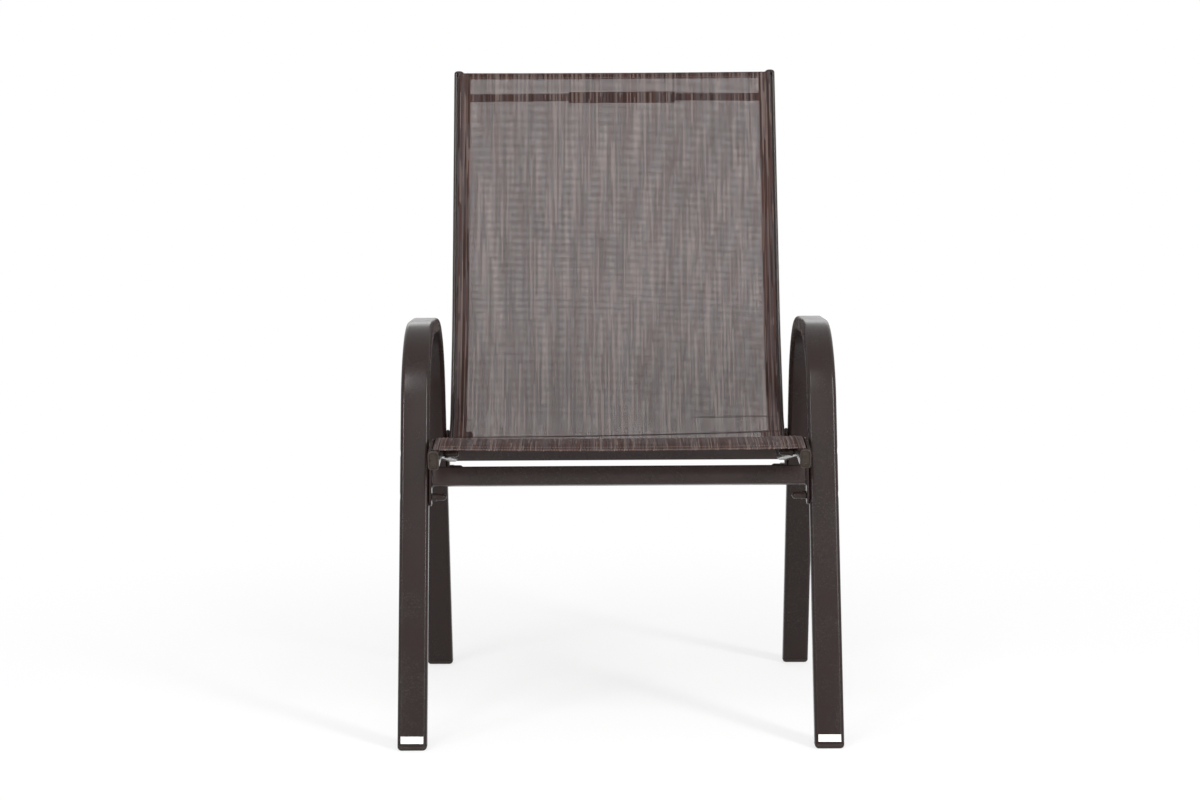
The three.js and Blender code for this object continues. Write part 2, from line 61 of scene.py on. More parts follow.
# Sling rails
RAIL_WIDTH = 0.014
RAIL_DEPTH = 0.025
RAIL_CORNER = 0.003
RAIL_CORNERS = [(0.010, 0.374), (0.068, 0.3835), (0.452, 0.331), (0.547, 0.509)]
RAIL_TOP = 0.885
BACK_LEAN = math.radians(18.2)
RAIL_BENDS = [0.180, 0.092, 0.400]
SLOT_INSET = 0.006
SLOT_WIDTH = 0.0018
SLOT_WALL = 0.0016
SLOT_OPENING = 0.0008
CHANNEL_RADIUS = 0.0034
CAP_PLATE = 0.002
FRONT_CAP_CORNERS = [(0.0046, 0.0050), (0.0042, 0.0074)]
CAP_DOME = 0.003
PIP_RADIUS = 0.0015
PIP_HEIGHT = 0.0013
PIP_PLACE = (0.0006, -0.0066)

# Sling and its hems
SLING_THICKNESS = 0.0004
SLING_LIFT = 0.0012
SLING_SAG = 0.002
SLING_FRONT_INSET = 0.0015
SLING_TOP_INSET = 0.0005
SIDE_HEM = 0.0185
FRONT_HEM = 0.016
TOP_HEM = 0.009
TUCK_DEPTH = 0.0035
SLOT_BEND = 0.0009
HEM_DROP = 0.0006
HEM_THICKNESS = 0.0003
CREASE_DEPTH = 0.0010
CREASE_FADE = 0.012
CREASE_START = (0.420, 0.338)
CREASE_END = 0.390
# Painted shade: a broad band of darker cloth above the seat's bend, painted stronger on the hems
PAINTED_SHADE_RUN = 0.505
PAINTED_SHADE_REACH = 0.085
PAINTED_BEND_SHADE = 0.17
HEM_SHADE = 2.4
WARP_PITCH = 0.00156
WEFT_PITCH = 0.00181
STREAK_LENGTH = 0.075
YARN_STREAKS = [(2.0, 0.6, 0.5), (1.0, 1.3, 71.5)]
YARN_STEPS = (0.34, 0.5, 0.69)

# Stretchers, end plates and spreader
STRETCHER_HEIGHT = 0.025
STRETCHER_DEPTH = 0.016
STRETCHER_CORNER = 0.003
PLATE_THICKNESS = 0.0033
PLATE_WIDTH = 0.018
PLATE_TOP_MARGIN = 0.008
PLATE_BOTTOM_MARGIN = 0.012
BOLT_SPACING = {"front": 0.0575, "rear": 0.052}
RAIL_BOLT_DROP = 0.0022
STRETCHER_DROP = {"front": 0.0018, "rear": 0.0}
BAR_DIAMETER = 0.012
BAR_GAP = 0.010
BAR_SEAT = 0.0014
SPREADER_DROP = 0.0335
SLEEVE_DIAMETER = 0.017
SLEEVE_LENGTH = 0.162
SLEEVE_SHIFT = 0.0114
CLAMP_DIAMETER = 0.0186
CLAMP_WIDTH = 0.005
CLAMP_REACH = 0.060

# Fasteners
HEAD_DIAMETER = 0.0114
HEAD_HEIGHT = 0.003
WASHER_DIAMETER = 0.0126
WASHER_THICKNESS = 0.001
BOLT_DIAMETER = 0.006
BOLT_IN_NUT = 0.011
DISH_RADIUS = 0.0066
DISH_MOUTH = 0.0085
NUT_ACROSS = 0.010
NUT_HEX = 0.006
NUT_LENGTH = 0.019
NUT_DOME = 0.0092
SPACER_DIAMETER = 0.014
SPACER_THICKNESS = 0.0013
FIT = 0.0003

# Studio
WORLD_LIGHT = 0.57
FLOOR_WHITE = 0.7

# Worked out across the chair
FLOOR_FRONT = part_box("foot_cap_front_left")[0].y
LEG_CENTRE = (CHAIR_WIDTH - LEG_WIDTH) / 2
PLATE_OUTER = LEG_CENTRE - LEG_WIDTH / 2 - FIT
PLATE_INNER = PLATE_OUTER - PLATE_THICKNESS
SPACER_OUTER = PLATE_INNER - FIT
RAIL_OUTER = SPACER_OUTER - SPACER_THICKNESS - FIT
RAIL_CENTRE = RAIL_OUTER - RAIL_WIDTH / 2
RAIL_INNER = RAIL_OUTER - RAIL_WIDTH
SLOT_CENTRE = RAIL_OUTER - SLOT_INSET
CLOTH_EDGE = SLOT_CENTRE - SLOT_WIDTH / 2 + SLING_THICKNESS
CHANNEL_CENTRE = RAIL_DEPTH / 2 - SLOT_WALL - CHANNEL_RADIUS
HOLLOW_CENTRE = (CHANNEL_CENTRE - CHANNEL_RADIUS - RAIL_DEPTH / 2) / 2
CLOTH_LEVEL = RAIL_DEPTH / 2 + SLING_LIFT
HEAD_BASE = CHAIR_WIDTH / 2 - FIT - HEAD_HEIGHT
WASHER_BASE = HEAD_BASE - FIT - WASHER_THICKNESS

SIDES = {"left": -1, "right": 1}
ENDS = ("front", "rear")


# Side view geometry
def turned_left(heading):
    return Vector((-heading.y, heading.x))


def heading_at(angle):
    return Vector((math.cos(angle), math.sin(angle)))


def bent_line(corners, bends, bend_step=math.radians(2.5)):
    """Stations (point, heading) along straight runs joined by round bends."""
    corners = [Vector(corner) for corner in corners]
    stations = [(corners[0], (corners[1] - corners[0]).normalized())]
    for index, radius in enumerate(bends):
        before = (corners[index + 1] - corners[index]).normalized()
        after = (corners[index + 2] - corners[index + 1]).normalized()
        turn = math.atan2(before.x * after.y - before.y * after.x, before.dot(after))
        signed = math.copysign(radius, turn)
        start = corners[index + 1] - before * (signed * math.tan(turn / 2))
        centre = start + turned_left(before) * signed
        first = math.atan2(before.y, before.x)
        steps = math.ceil(abs(turn) / bend_step)
        for step in range(steps + 1):
            heading = heading_at(first + turn * step / steps)
            stations.append((centre - turned_left(heading) * signed, heading))
    stations.append((corners[-1], (corners[-1] - corners[-2]).normalized()))
    return stations


def trimmed(stations, start_cut, end_cut):
    """The same line with its straight ends cut back, or lengthened by a negative cut."""
    (first, first_heading), (last, last_heading) = stations[0], stations[-1]
    return [
        (first + first_heading * start_cut, first_heading),
        *stations[1:-1],
        (last - last_heading * end_cut, last_heading),
    ]


def spaced(stations, spacing):
    """The same line with extra stations, so that no run is longer than the spacing."""
    filled = [stations[0]]
    for (start, start_heading), (end, end_heading) in zip(stations, stations[1:]):
        pieces = max(1, math.ceil((end - start).length / spacing(start)))
        for piece in range(1, pieces + 1):
            share = piece / pieces
            heading = start_heading.lerp(end_heading, share).normalized()
            filled.append((start.lerp(end, share), heading))
    return filled


def crossing(run, other):
    """Places where one run of points crosses another, in order along the first."""
    found = []
    for start, end in zip(run, run[1:]):
        along = end - start
        for other_start, other_end in zip(other, other[1:]):
            other_along = other_end - other_start
            spread = along.x * other_along.y - along.y * other_along.x
            if abs(spread) < 1e-12:
                continue
            between = other_start - start
            share = (between.x * other_along.y - between.y * other_along.x) / spread
            other_share = (between.x * along.y - between.y * along.x) / spread
            if 0 < share <= 1 and 0 < other_share <= 1:
                found.append(start + along * share)
    return found


def at_distance(run, centre, distance):
    """The first place along a run of points that lies at a distance from a centre."""
    for start, end in zip(run, run[1:]):
        along, away = end - start, start - centre
        middle = along.dot(away) / along.length_squared
        reach = middle**2 - (away.length_squared - distance**2) / along.length_squared
        if reach >= 0 and 0 < -middle - math.sqrt(reach) <= 1:
            return start.lerp(end, -middle - math.sqrt(reach))


front_leg_up = Vector((math.sin(FRONT_LEG_LEAN), math.cos(FRONT_LEG_LEAN)))
rear_leg_up = Vector((-math.sin(REAR_LEG_LEAN), math.cos(REAR_LEG_LEAN)))
front_foot = Vector((LEG_THICKNESS / 2 / math.cos(FRONT_LEG_LEAN), 0))
rear_foot = Vector((FOOTPRINT_DEPTH - LEG_THICKNESS / 2 / math.cos(REAR_LEG_LEAN), 0))
arm_line = ARM_HEIGHT - LEG_THICKNESS / 2
side_frame_line = bent_line(
    [
        front_foot,
        front_foot + front_leg_up * (arm_line / front_leg_up.y),
        rear_foot + rear_leg_up * (arm_line / rear_leg_up.y),
        rear_foot,
    ],
    [ARM_BEND, ARM_BEND],
)
lumbar = RAIL_CORNERS[-1]
rail_line = bent_line(
    [*RAIL_CORNERS, (lumbar[0] + (RAIL_TOP - lumbar[1]) * math.tan(BACK_LEAN), RAIL_TOP)],
    RAIL_BENDS,
)
bolt_depth = HOLLOW_CENTRE - RAIL_BOLT_DROP
rail_bolt_line = [point + turned_left(heading) * bolt_depth for point, heading in rail_line]
frame_points = [point for point, heading in side_frame_line]
rail_bolts = crossing(rail_bolt_line, frame_points)
upper_bolts = {"front": rail_bolts[0], "rear": rail_bolts[-1]}
lower_bolts = {
    "front": at_distance(frame_points, upper_bolts["front"], BOLT_SPACING["front"]),
    "rear": at_distance(frame_points[::-1], upper_bolts["rear"], BOLT_SPACING["rear"]),
}
rail_top_point, rail_top_heading = rail_line[-1]
spreader_place = (
    rail_top_point
    - rail_top_heading * SPREADER_DROP
    + turned_left(rail_top_heading) * HOLLOW_CENTRE
)


def in_chair(across, point):
    """The place of a side view point at a distance across the chair."""
    return Vector((across, FLOOR_FRONT + point.x, point.y))


# Mesh making
def quarter_arc(steps, first=0):
    """Cosines and sines along a quarter turn, in even steps."""
    turns = [heading_at(math.pi / 2 * step / steps) for step in range(first, steps + 1)]
    return [(turn.x, turn.y) for turn in turns]


def oval_cornered(width, depth, corners, steps):
    """An oblong outline, from the (width, depth) of its upper two corners and lower two."""
    outline = []
    for quarter, (x_side, y_side) in enumerate([(1, 1), (-1, 1), (-1, -1), (1, -1)]):
        across, along = corners[quarter // 2]
        centre = Vector((x_side * (width / 2 - across), y_side * (depth / 2 - along)))
        for step in range(steps + 1):
            turn = heading_at(math.pi / 2 * (quarter + step / steps))
            outline.append(centre + Vector((turn.x * across, turn.y * along)))
    return outline


def rounded_rectangle(width, depth, corner, steps=6):
    return oval_cornered(width, depth, [(corner, corner)] * 2, steps)


def circle(radius, sides):
    return [heading_at(2 * math.pi * side / sides) * radius for side in range(sides)]


def mesh_of(name, points, edges=(), faces=()):
    mesh = bpy.data.meshes.new(name)
    mesh.from_pydata(points, edges, faces)
    return mesh


def piece_of(name, data):
    """A new object in the scene: a mesh, a lamp or a camera."""
    piece = bpy.data.objects.new(name, data)
    bpy.context.scene.collection.objects.link(piece)
    return piece


def smooth(mesh, crease_angle=math.radians(35)):
    mesh.shade_smooth()
    mesh.set_sharp_from_angle(angle=crease_angle)


def loft(name, rings, looped=False):
    """A skin over rings of points, each ring with the same number of points."""
    sides = len(rings[0])
    points = [point for ring in rings for point in ring]
    faces = []
    spans = len(rings) if looped else len(rings) - 1
    for span in range(spans):
        here, there = span * sides, (span + 1) % len(rings) * sides
        for side in range(sides):
            after = (side + 1) % sides
            faces.append((here + side, here + after, there + after, there + side))
    if not looped:
        faces.append(tuple(reversed(range(sides))))
        faces.append(tuple(range(len(points) - sides, len(points))))
    mesh = mesh_of(name, points, faces=faces)
    shell = bmesh.new()
    shell.from_mesh(mesh)
    bmesh.ops.recalc_face_normals(shell, faces=shell.faces)
    shell.to_mesh(mesh)
    shell.free()
    smooth(mesh)
    return piece_of(name, mesh)


def ring_at(outline, station, across):
    """A section drawn across the chair (x) and towards the sitter (y), set at a station."""
    point, heading = station
    side = turned_left(heading)
    return [in_chair(across + spot.x, point + side * spot.y) for spot in outline]


def sweep(name, outline, stations, across):
    return loft(name, [ring_at(outline, station, across) for station in stations])


def turned(name, profile, sides, centre=Vector((0, 0, 0)), facing=1, looped=False):
    """A turned piece along X. The profile is (radius, or outline of spots; distance outwards)."""
    rings = []
    for section, along in profile:
        spots = section if isinstance(section, list) else circle(section, sides)
        rings.append([centre + Vector((facing * along, spot.x, spot.y)) for spot in spots])
    return loft(name, rings, looped)


def joined(name, pieces):
    """One piece with the meshes of several, all at the origin."""
    whole = bmesh.new()
    for piece in pieces:
        whole.from_mesh(piece.data)
        bpy.data.objects.remove(piece)
    mesh = bpy.data.meshes.new(name)
    whole.to_mesh(mesh)
    whole.free()
    smooth(mesh)
    return piece_of(name, mesh)


def made_plain(piece):
    """The evaluated mesh of a piece in place of its own, with its modifiers removed."""
    evaluated = piece.evaluated_get(bpy.context.evaluated_depsgraph_get())
    mesh = bpy.data.meshes.new_from_object(evaluated)
    piece.modifiers.clear()
    piece.data = mesh
    return piece


# Nodes
def name_sockets(tree, in_out, kinds):
    """Gives a tree its inputs or outputs, from the labels under each kind."""
    for kind, labels in kinds.items():
        for label in labels:
            tree.interface.new_socket(label, in_out=in_out, socket_type="NodeSocket" + kind)


def add(tree, kind, inputs=None, **settings):
    """The outputs of a new node with its settings, and with inputs given as values or as
    other nodes' outputs."""
    node = tree.nodes.new(kind)
    for setting, value in settings.items():
        setattr(node, setting, value)
    for socket, value in (inputs or {}).items():
        if isinstance(value, bpy.types.NodeSocket):
            tree.links.new(value, node.inputs[socket])
        else:
            node.inputs[socket].default_value = value
    return node.outputs


def maths(tree, operation, first, second=0.0, third=0.0):
    inputs = {0: first, 1: second, 2: third}
    return add(tree, "ShaderNodeMath", inputs, operation=operation)[0]


def scaled(tree, vector, scale):
    inputs = {0: vector, "Scale": scale}
    return add(tree, "ShaderNodeVectorMath", inputs, operation="SCALE")[0]


# Geometry Nodes
def shape_tree(name, **inputs):
    """A tree that changes geometry, with named inputs for its sizes, and its inputs' sockets."""
    tree = bpy.data.node_groups.new(name, "GeometryNodeTree")
    name_sockets(tree, "INPUT", {"Geometry": ["Geometry"], **inputs, "Material": ["Finish"]})
    name_sockets(tree, "OUTPUT", {"Geometry": ["Geometry"]})
    return tree, add(tree, "NodeGroupInput")


def end_tree(tree, geometry, finish):
    """Closes a tree: real meshes instead of instances, in one finish."""
    real = add(tree, "GeometryNodeRealizeInstances", {"Geometry": geometry})[0]
    coated = add(tree, "GeometryNodeSetMaterial", {"Geometry": real, "Material": finish})[0]
    add(tree, "NodeGroupOutput", {"Geometry": coated})
    return tree


def shaped(piece, tree, values):
    """Runs a tree on a piece with values by input name, and keeps the plain result."""
    modifier = piece.modifiers.new(tree.name, "NODES")
    modifier.node_group = tree
    identifiers = {
        item.name: item.identifier for item in tree.interface.items_tree if item.in_out == "INPUT"
    }
    for label, value in values.items():
        modifier[identifiers[label]] = value
    return made_plain(piece)


def path_piece(name, points, closed=False):
    """A line of points for a tree that follows it."""
    edges = [(index, index + 1) for index in range(len(points) - 1)]
    if closed:
        edges.append((len(points) - 1, 0))
    return piece_of(name, mesh_of(name, points, edges))


def tube_along_path():
    tree, given = shape_tree(
        "tube along path",
        Vector=["Section Edge"],
        Float=["Width Across", "Thickness", "Corner Radius"],
        Int=["Corner Points"],
    )
    line = add(tree, "GeometryNodeMeshToCurve", {"Mesh": given["Geometry"]})[0]
    sockets = {"Curve": line, "Normal": given["Section Edge"]}
    level = add(tree, "GeometryNodeSetCurveNormal", sockets, mode="FREE")[0]
    sockets = {"Width": given["Width Across"], "Height": given["Thickness"]}
    section = add(tree, "GeometryNodeCurvePrimitiveQuadrilateral", sockets)[0]
    sockets = {"Curve": section, "Count": given["Corner Points"], "Radius": given["Corner Radius"]}
    rounded = add(tree, "GeometryNodeFilletCurve", sockets, mode="POLY")[0]
    sockets = {"Curve": level, "Profile Curve": rounded, "Fill Caps": True}
    return end_tree(tree, add(tree, "GeometryNodeCurveToMesh", sockets)[0], given["Finish"])


def beads_along_path():
    """Small rounded beads, laid along a path: stitches of thread, or the ripples of a weld."""
    tree, given = shape_tree(
        "beads along path", Float=["Pitch", "Bead Length", "Bead Width", "Unevenness"], Int=["Seed"]
    )
    line = add(tree, "GeometryNodeMeshToCurve", {"Mesh": given["Geometry"]})[0]
    sockets = {"Curve": line, "Length": given["Pitch"]}
    spots = add(tree, "GeometryNodeResampleCurve", sockets, mode="LENGTH")[0]
    bead = add(tree, "GeometryNodeMeshUVSphere", {"Segments": 8, "Rings": 5, "Radius": 0.5})[0]
    rounded = add(tree, "GeometryNodeSetShadeSmooth", {"Geometry": bead})[0]
    tangent = add(tree, "GeometryNodeInputTangent")[0]
    along = add(tree, "FunctionNodeAlignRotationToVector", {"Vector": tangent}, axis="Z")[0]
    sizes = {0: given["Bead Width"], 1: given["Bead Width"], 2: given["Bead Length"]}
    size = add(tree, "ShaderNodeCombineXYZ", sizes)[0]
    least = maths(tree, "SUBTRACT", 1.0, given["Unevenness"])
    limits = {2: least, 3: 1.0, "Seed": given["Seed"]}
    share = add(tree, "FunctionNodeRandomValue", limits, data_type="FLOAT")[1]
    uneven = scaled(tree, size, share)
    sockets = {"Points": spots, "Instance": rounded, "Rotation": along, "Scale": uneven}
    laid = add(tree, "GeometryNodeInstanceOnPoints", sockets)[0]
    return end_tree(tree, laid, given["Finish"])


def fasteners_at_places():
    """One fastener set at every point, facing out of the chair and turned by chance."""
    tree, given = shape_tree(
        "fasteners at places", Object=["Fastener"], Float=["Turn"], Int=["Seed"]
    )
    single = add(tree, "GeometryNodeObjectInfo", {"Object": given["Fastener"]})["Geometry"]
    named = {"Name": "outwards"}
    outwards = add(tree, "GeometryNodeInputNamedAttribute", named, data_type="FLOAT")["Attribute"]
    limits = {2: 0.0, 3: given["Turn"], "Seed": given["Seed"]}
    turn = add(tree, "FunctionNodeRandomValue", limits, data_type="FLOAT")[1]
    facing = add(tree, "ShaderNodeCombineXYZ", {0: turn, 2: outwards})[0]
    angles = add(tree, "FunctionNodeEulerToRotation", {"Euler": facing})[0]
    sockets = {"Points": given["Geometry"], "Instance": single, "Rotation": angles}
    placed = add(tree, "GeometryNodeInstanceOnPoints", sockets)[0]
    return end_tree(tree, placed, given["Finish"])


tube_tree = tube_along_path()
bead_tree = beads_along_path()
fastener_tree = fasteners_at_places()


def oblong_tube(name, points, section_edge, width, thickness, corner, finish):
    values = {
        "Section Edge": section_edge,
        "Width Across": width,
        "Thickness": thickness,
        "Corner Radius": corner,
        "Corner Points": 6,
        "Finish": finish,
    }
    return shaped(path_piece(name, points), tube_tree, values)


def bead_row(points, pitch, length, width, unevenness, seed, finish, closed=False):
    values = {
        "Pitch": pitch,
        "Bead Length": length,
        "Bead Width": width,
        "Unevenness": unevenness,
        "Seed": seed,
        "Finish": finish,
    }
    return shaped(path_piece("bead row", points, closed), bead_tree, values)


# Shader groups
def pattern_group(name, values, **inputs):
    """A group with named inputs, that puts out a colour and named values, and its inputs'
    sockets."""
    group = bpy.data.node_groups.new(name, "ShaderNodeTree")
    name_sockets(group, "INPUT", inputs)
    name_sockets(group, "OUTPUT", {"Color": ["Colour"], "Float": values})
    return group, add(group, "NodeGroupInput")


def remapped(tree, value, low, high, new_low=0.0, new_high=1.0):
    """A value's range laid smoothly over another."""
    inputs = {0: value, 1: low, 2: high, 3: new_low, 4: new_high}
    return add(tree, "ShaderNodeMapRange", inputs, interpolation_type="SMOOTHSTEP")[0]


def blended(tree, share, first, second):
    """A share of the second colour over the first."""
    return add(tree, "ShaderNodeMix", {0: share, 6: first, 7: second}, data_type="RGBA")[2]


def noise(tree, place, scale, detail=2.0, roughness=0.5):
    inputs = {"Vector": place, "Scale": scale, "Detail": detail, "Roughness": roughness}
    return add(tree, "ShaderNodeTexNoise", inputs)[0]


def chance(tree, number, second=0.0):
    """A value from 0 to 1, by chance, for one or two whole numbers."""
    place = add(tree, "ShaderNodeCombineXYZ", {0: number, 1: second})[0]
    return add(tree, "ShaderNodeTexWhiteNoise", {"Vector": place})["Value"]


def uneven_roughness(tree, gloss, cloud, least, most):
    """The roughness that goes with a gloss, a little more or less in places."""
    rough = maths(tree, "SUBTRACT", 1.0, gloss)
    return maths(tree, "ADD", rough, remapped(tree, cloud, 0.3, 0.7, least, most))


def woven_yarns():
    """Plain weave of flat coated yarns. Streaks of shade run along pairs of warp yarns, and
    shorter ones along single yarns."""
    yarns = ["Dark Yarn", "Brown Yarn", "Grey Yarn", "Pale Yarn"]
    group, given = pattern_group(
        "woven yarns",
        ["Cover", "Height"],
        Vector=["Cloth"],
        Float=["Warp Pitch", "Weft Pitch", "Warp Share", "Weft Share", "Streak Length"],
        Color=[*yarns, "Weft Yarn"],
    )

    def calc(operation, *values):
        return maths(group, operation, *values)

    metres = add(group, "ShaderNodeSeparateXYZ", {0: given["Cloth"]})
    across = calc("DIVIDE", metres[0], given["Warp Pitch"])
    along = calc("DIVIDE", metres[1], given["Weft Pitch"])
    heights, covers = [], []
    for place, crossed, share, phase in (
        (across, along, given["Warp Share"], 0.0),
        (along, across, given["Weft Share"], 1.0),
    ):
        off_centre = calc("SUBTRACT", calc("FRACT", place), 0.5)
        edge = calc("DIVIDE", calc("MULTIPLY", off_centre, 2.0), share)
        crown = calc("SUBTRACT", 1.0, calc("MULTIPLY", edge, edge))
        under = calc("ADD", calc("SUBTRACT", crossed, 0.5 - phase), calc("FLOOR", place))
        swing = calc("COSINE", calc("MULTIPLY", under, math.pi))
        lifted = calc("MULTIPLY_ADD", swing, 0.3, 0.5)
        full = calc("MULTIPLY_ADD", calc("MAXIMUM", crown, 0.0), 0.2, lifted)
        covers.append(calc("GREATER_THAN", crown, 0.0))
        heights.append(calc("MULTIPLY", full, covers[-1]))
    streak_run = calc("DIVIDE", metres[1], given["Streak Length"])
    shades = []
    for width, stretch, slide in YARN_STREAKS:
        number = calc("ADD", calc("FLOOR", calc("DIVIDE", across, width)), slide)
        start = calc("MULTIPLY", chance(group, number), 37.0)
        streak = calc("FLOOR", calc("MULTIPLY_ADD", streak_run, stretch, start))
        shades.append(chance(group, number, streak))
    shade = calc("MULTIPLY_ADD", shades[1], 0.5, calc("MULTIPLY", shades[0], 0.5))
    warp = given[yarns[0]]
    for least, yarn in zip(YARN_STEPS, yarns[1:]):
        warp = blended(group, calc("GREATER_THAN", shade, least), warp, given[yarn])
    colour = blended(group, calc("GREATER_THAN", *heights), given["Weft Yarn"], warp)
    height = calc("MAXIMUM", *heights)
    # Painted shade and light: each yarn is painted darker where it dips into the weave's hollows
    # and lighter on its crown
    shaded = scaled(group, colour, remapped(group, height, 0.2, 0.9, 0.55, 1.1))
    ends = {"Colour": shaded, "Cover": calc("MAXIMUM", *covers), "Height": height}
    add(group, "NodeGroupOutput", ends)
    return group


def powder_coat():
    """The fine ripple of a sprayed coat, with faint dust and uneven gloss."""
    group, given = pattern_group(
        "powder coat",
        ["Roughness", "Height"],
        Vector=["Place"],
        Color=["Coat", "Dust"],
        Float=["Dust Share", "Ripple Size", "Gloss"],
    )
    fineness = maths(group, "DIVIDE", 1.0, given["Ripple Size"])
    cloud = noise(group, given["Place"], 14.0, 3.0, 0.6)
    specks = noise(group, given["Place"], 900.0, 1.0)
    settled = maths(group, "MULTIPLY", remapped(group, cloud, 0.35, 0.7), given["Dust Share"])
    dusty = maths(group, "MULTIPLY", remapped(group, specks, 0.58, 0.72), settled)
    shaded = remapped(group, cloud, 0.3, 0.7, 0.0, 0.25)
    mottled = blended(group, shaded, given["Coat"], linear(0, 0, 0))
    ends = {
        "Colour": blended(group, dusty, mottled, given["Dust"]),
        "Roughness": uneven_roughness(group, given["Gloss"], cloud, -0.05, 0.07),
        "Height": noise(group, given["Place"], fineness, 3.0),
    }
    add(group, "NodeGroupOutput", ends)
    return group


def moulded_plastic():
    """The fine grain of a moulded plastic face, with handling shine."""
    group, given = pattern_group(
        "moulded plastic",
        ["Roughness", "Height"],
        Vector=["Place"],
        Color=["Plastic", "Bloom"],
        Float=["Grain Size", "Gloss"],
    )
    fineness = maths(group, "DIVIDE", 1.0, given["Grain Size"])
    cloud = noise(group, given["Place"], 90.0)
    bloomed = remapped(group, cloud, 0.4, 0.75, 0.0, 0.5)
    ends = {
        "Colour": blended(group, bloomed, given["Plastic"], given["Bloom"]),
        "Roughness": uneven_roughness(group, given["Gloss"], cloud, -0.06, 0.08),
        "Height": noise(group, given["Place"], fineness),
    }
    add(group, "NodeGroupOutput", ends)
    return group


# Finishes
def linear(red, green, blue):
    return (red, green, blue, 1.0)


def new_finish(name, specular):
    material = bpy.data.materials.new(name)
    material.use_nodes = True
    shader = material.node_tree.nodes["Principled BSDF"].inputs
    shader["Specular IOR Level"].default_value = specular
    return material, material.node_tree, shader


def raise_surface(tree, shader, height, distance):
    inputs = {"Height": height, "Distance": distance, "Strength": 1.0}
    tree.links.new(add(tree, "ShaderNodeBump", inputs)[0], shader["Normal"])


def solid_finish(name, group, values, ripple, specular, metallic=0.0):
    """A finish whose pattern group reads the piece's own object coordinates."""
    material, tree, shader = new_finish(name, specular)
    place = add(tree, "ShaderNodeTexCoord")["Object"]
    pattern = add(tree, "ShaderNodeGroup", {"Place": place, **values}, node_tree=group)
    tree.links.new(pattern["Colour"], shader["Base Color"])
    tree.links.new(pattern["Roughness"], shader["Roughness"])
    shader["Metallic"].default_value = metallic
    raise_surface(tree, shader, pattern["Height"], ripple)
    return material


def coated(name, colour, dust, ripple_size, gloss, ripple, specular, metallic=0.0):
    values = {
        "Coat": linear(*colour),
        "Dust": linear(*dust),
        "Dust Share": 0.3,
        "Ripple Size": ripple_size,
        "Gloss": gloss,
    }
    return solid_finish(name, coat, values, ripple, specular, metallic)


def moulded(name, colour, bloom, grain_size, gloss, grain, specular):
    values = {
        "Plastic": linear(*colour),
        "Bloom": linear(*bloom),
        "Grain Size": grain_size,
        "Gloss": gloss,
    }
    return solid_finish(name, plastic, values, grain, specular)


def woven(name, warp_share, weft_share):
    """A woven finish on the cloth's own UV map, open between the yarns, with painted shade that
    darkens the yarns and shuts the openings along creases and above the seat's bend.
    """
    material, tree, shader = new_finish(name, 0.1)
    values = {
        "Cloth": add(tree, "ShaderNodeUVMap", uv_map="cloth")[0],
        "Warp Pitch": WARP_PITCH,
        "Weft Pitch": WEFT_PITCH,
        "Warp Share": warp_share,
        "Weft Share": weft_share,
        "Streak Length": STREAK_LENGTH,
        "Dark Yarn": linear(0.020, 0.010, 0.009),
        "Brown Yarn": linear(0.066, 0.032, 0.027),
        "Grey Yarn": linear(0.076, 0.066, 0.071),
        "Pale Yarn": linear(0.182, 0.140, 0.127),
        "Weft Yarn": linear(0.042, 0.024, 0.021),
    }
    pattern = add(tree, "ShaderNodeGroup", values, node_tree=weave)
    # Painted shade along creases and above the seat's bend: darkens the yarns towards dark brown
    # and shuts the weave's openings there
    painted_shade = add(tree, "ShaderNodeAttribute", attribute_name="painted_shade")["Fac"]
    darkened = maths(tree, "MULTIPLY", painted_shade, 0.75)
    colour_with_painted_shade = blended(tree, darkened, pattern["Colour"], linear(0.02, 0.012, 0.011))
    tree.links.new(colour_with_painted_shade, shader["Base Color"])
    outside = maths(tree, "SUBTRACT", 1.0, add(tree, "ShaderNodeNewGeometry")["Backfacing"])
    cover_with_painted_shade = maths(tree, "MAXIMUM", pattern["Cover"], painted_shade)
    tree.links.new(maths(tree, "MULTIPLY", cover_with_painted_shade, outside), shader["Alpha"])
    shader["Roughness"].default_value = 0.6
    raise_surface(tree, shader, pattern["Height"], 0.00025)
    return material


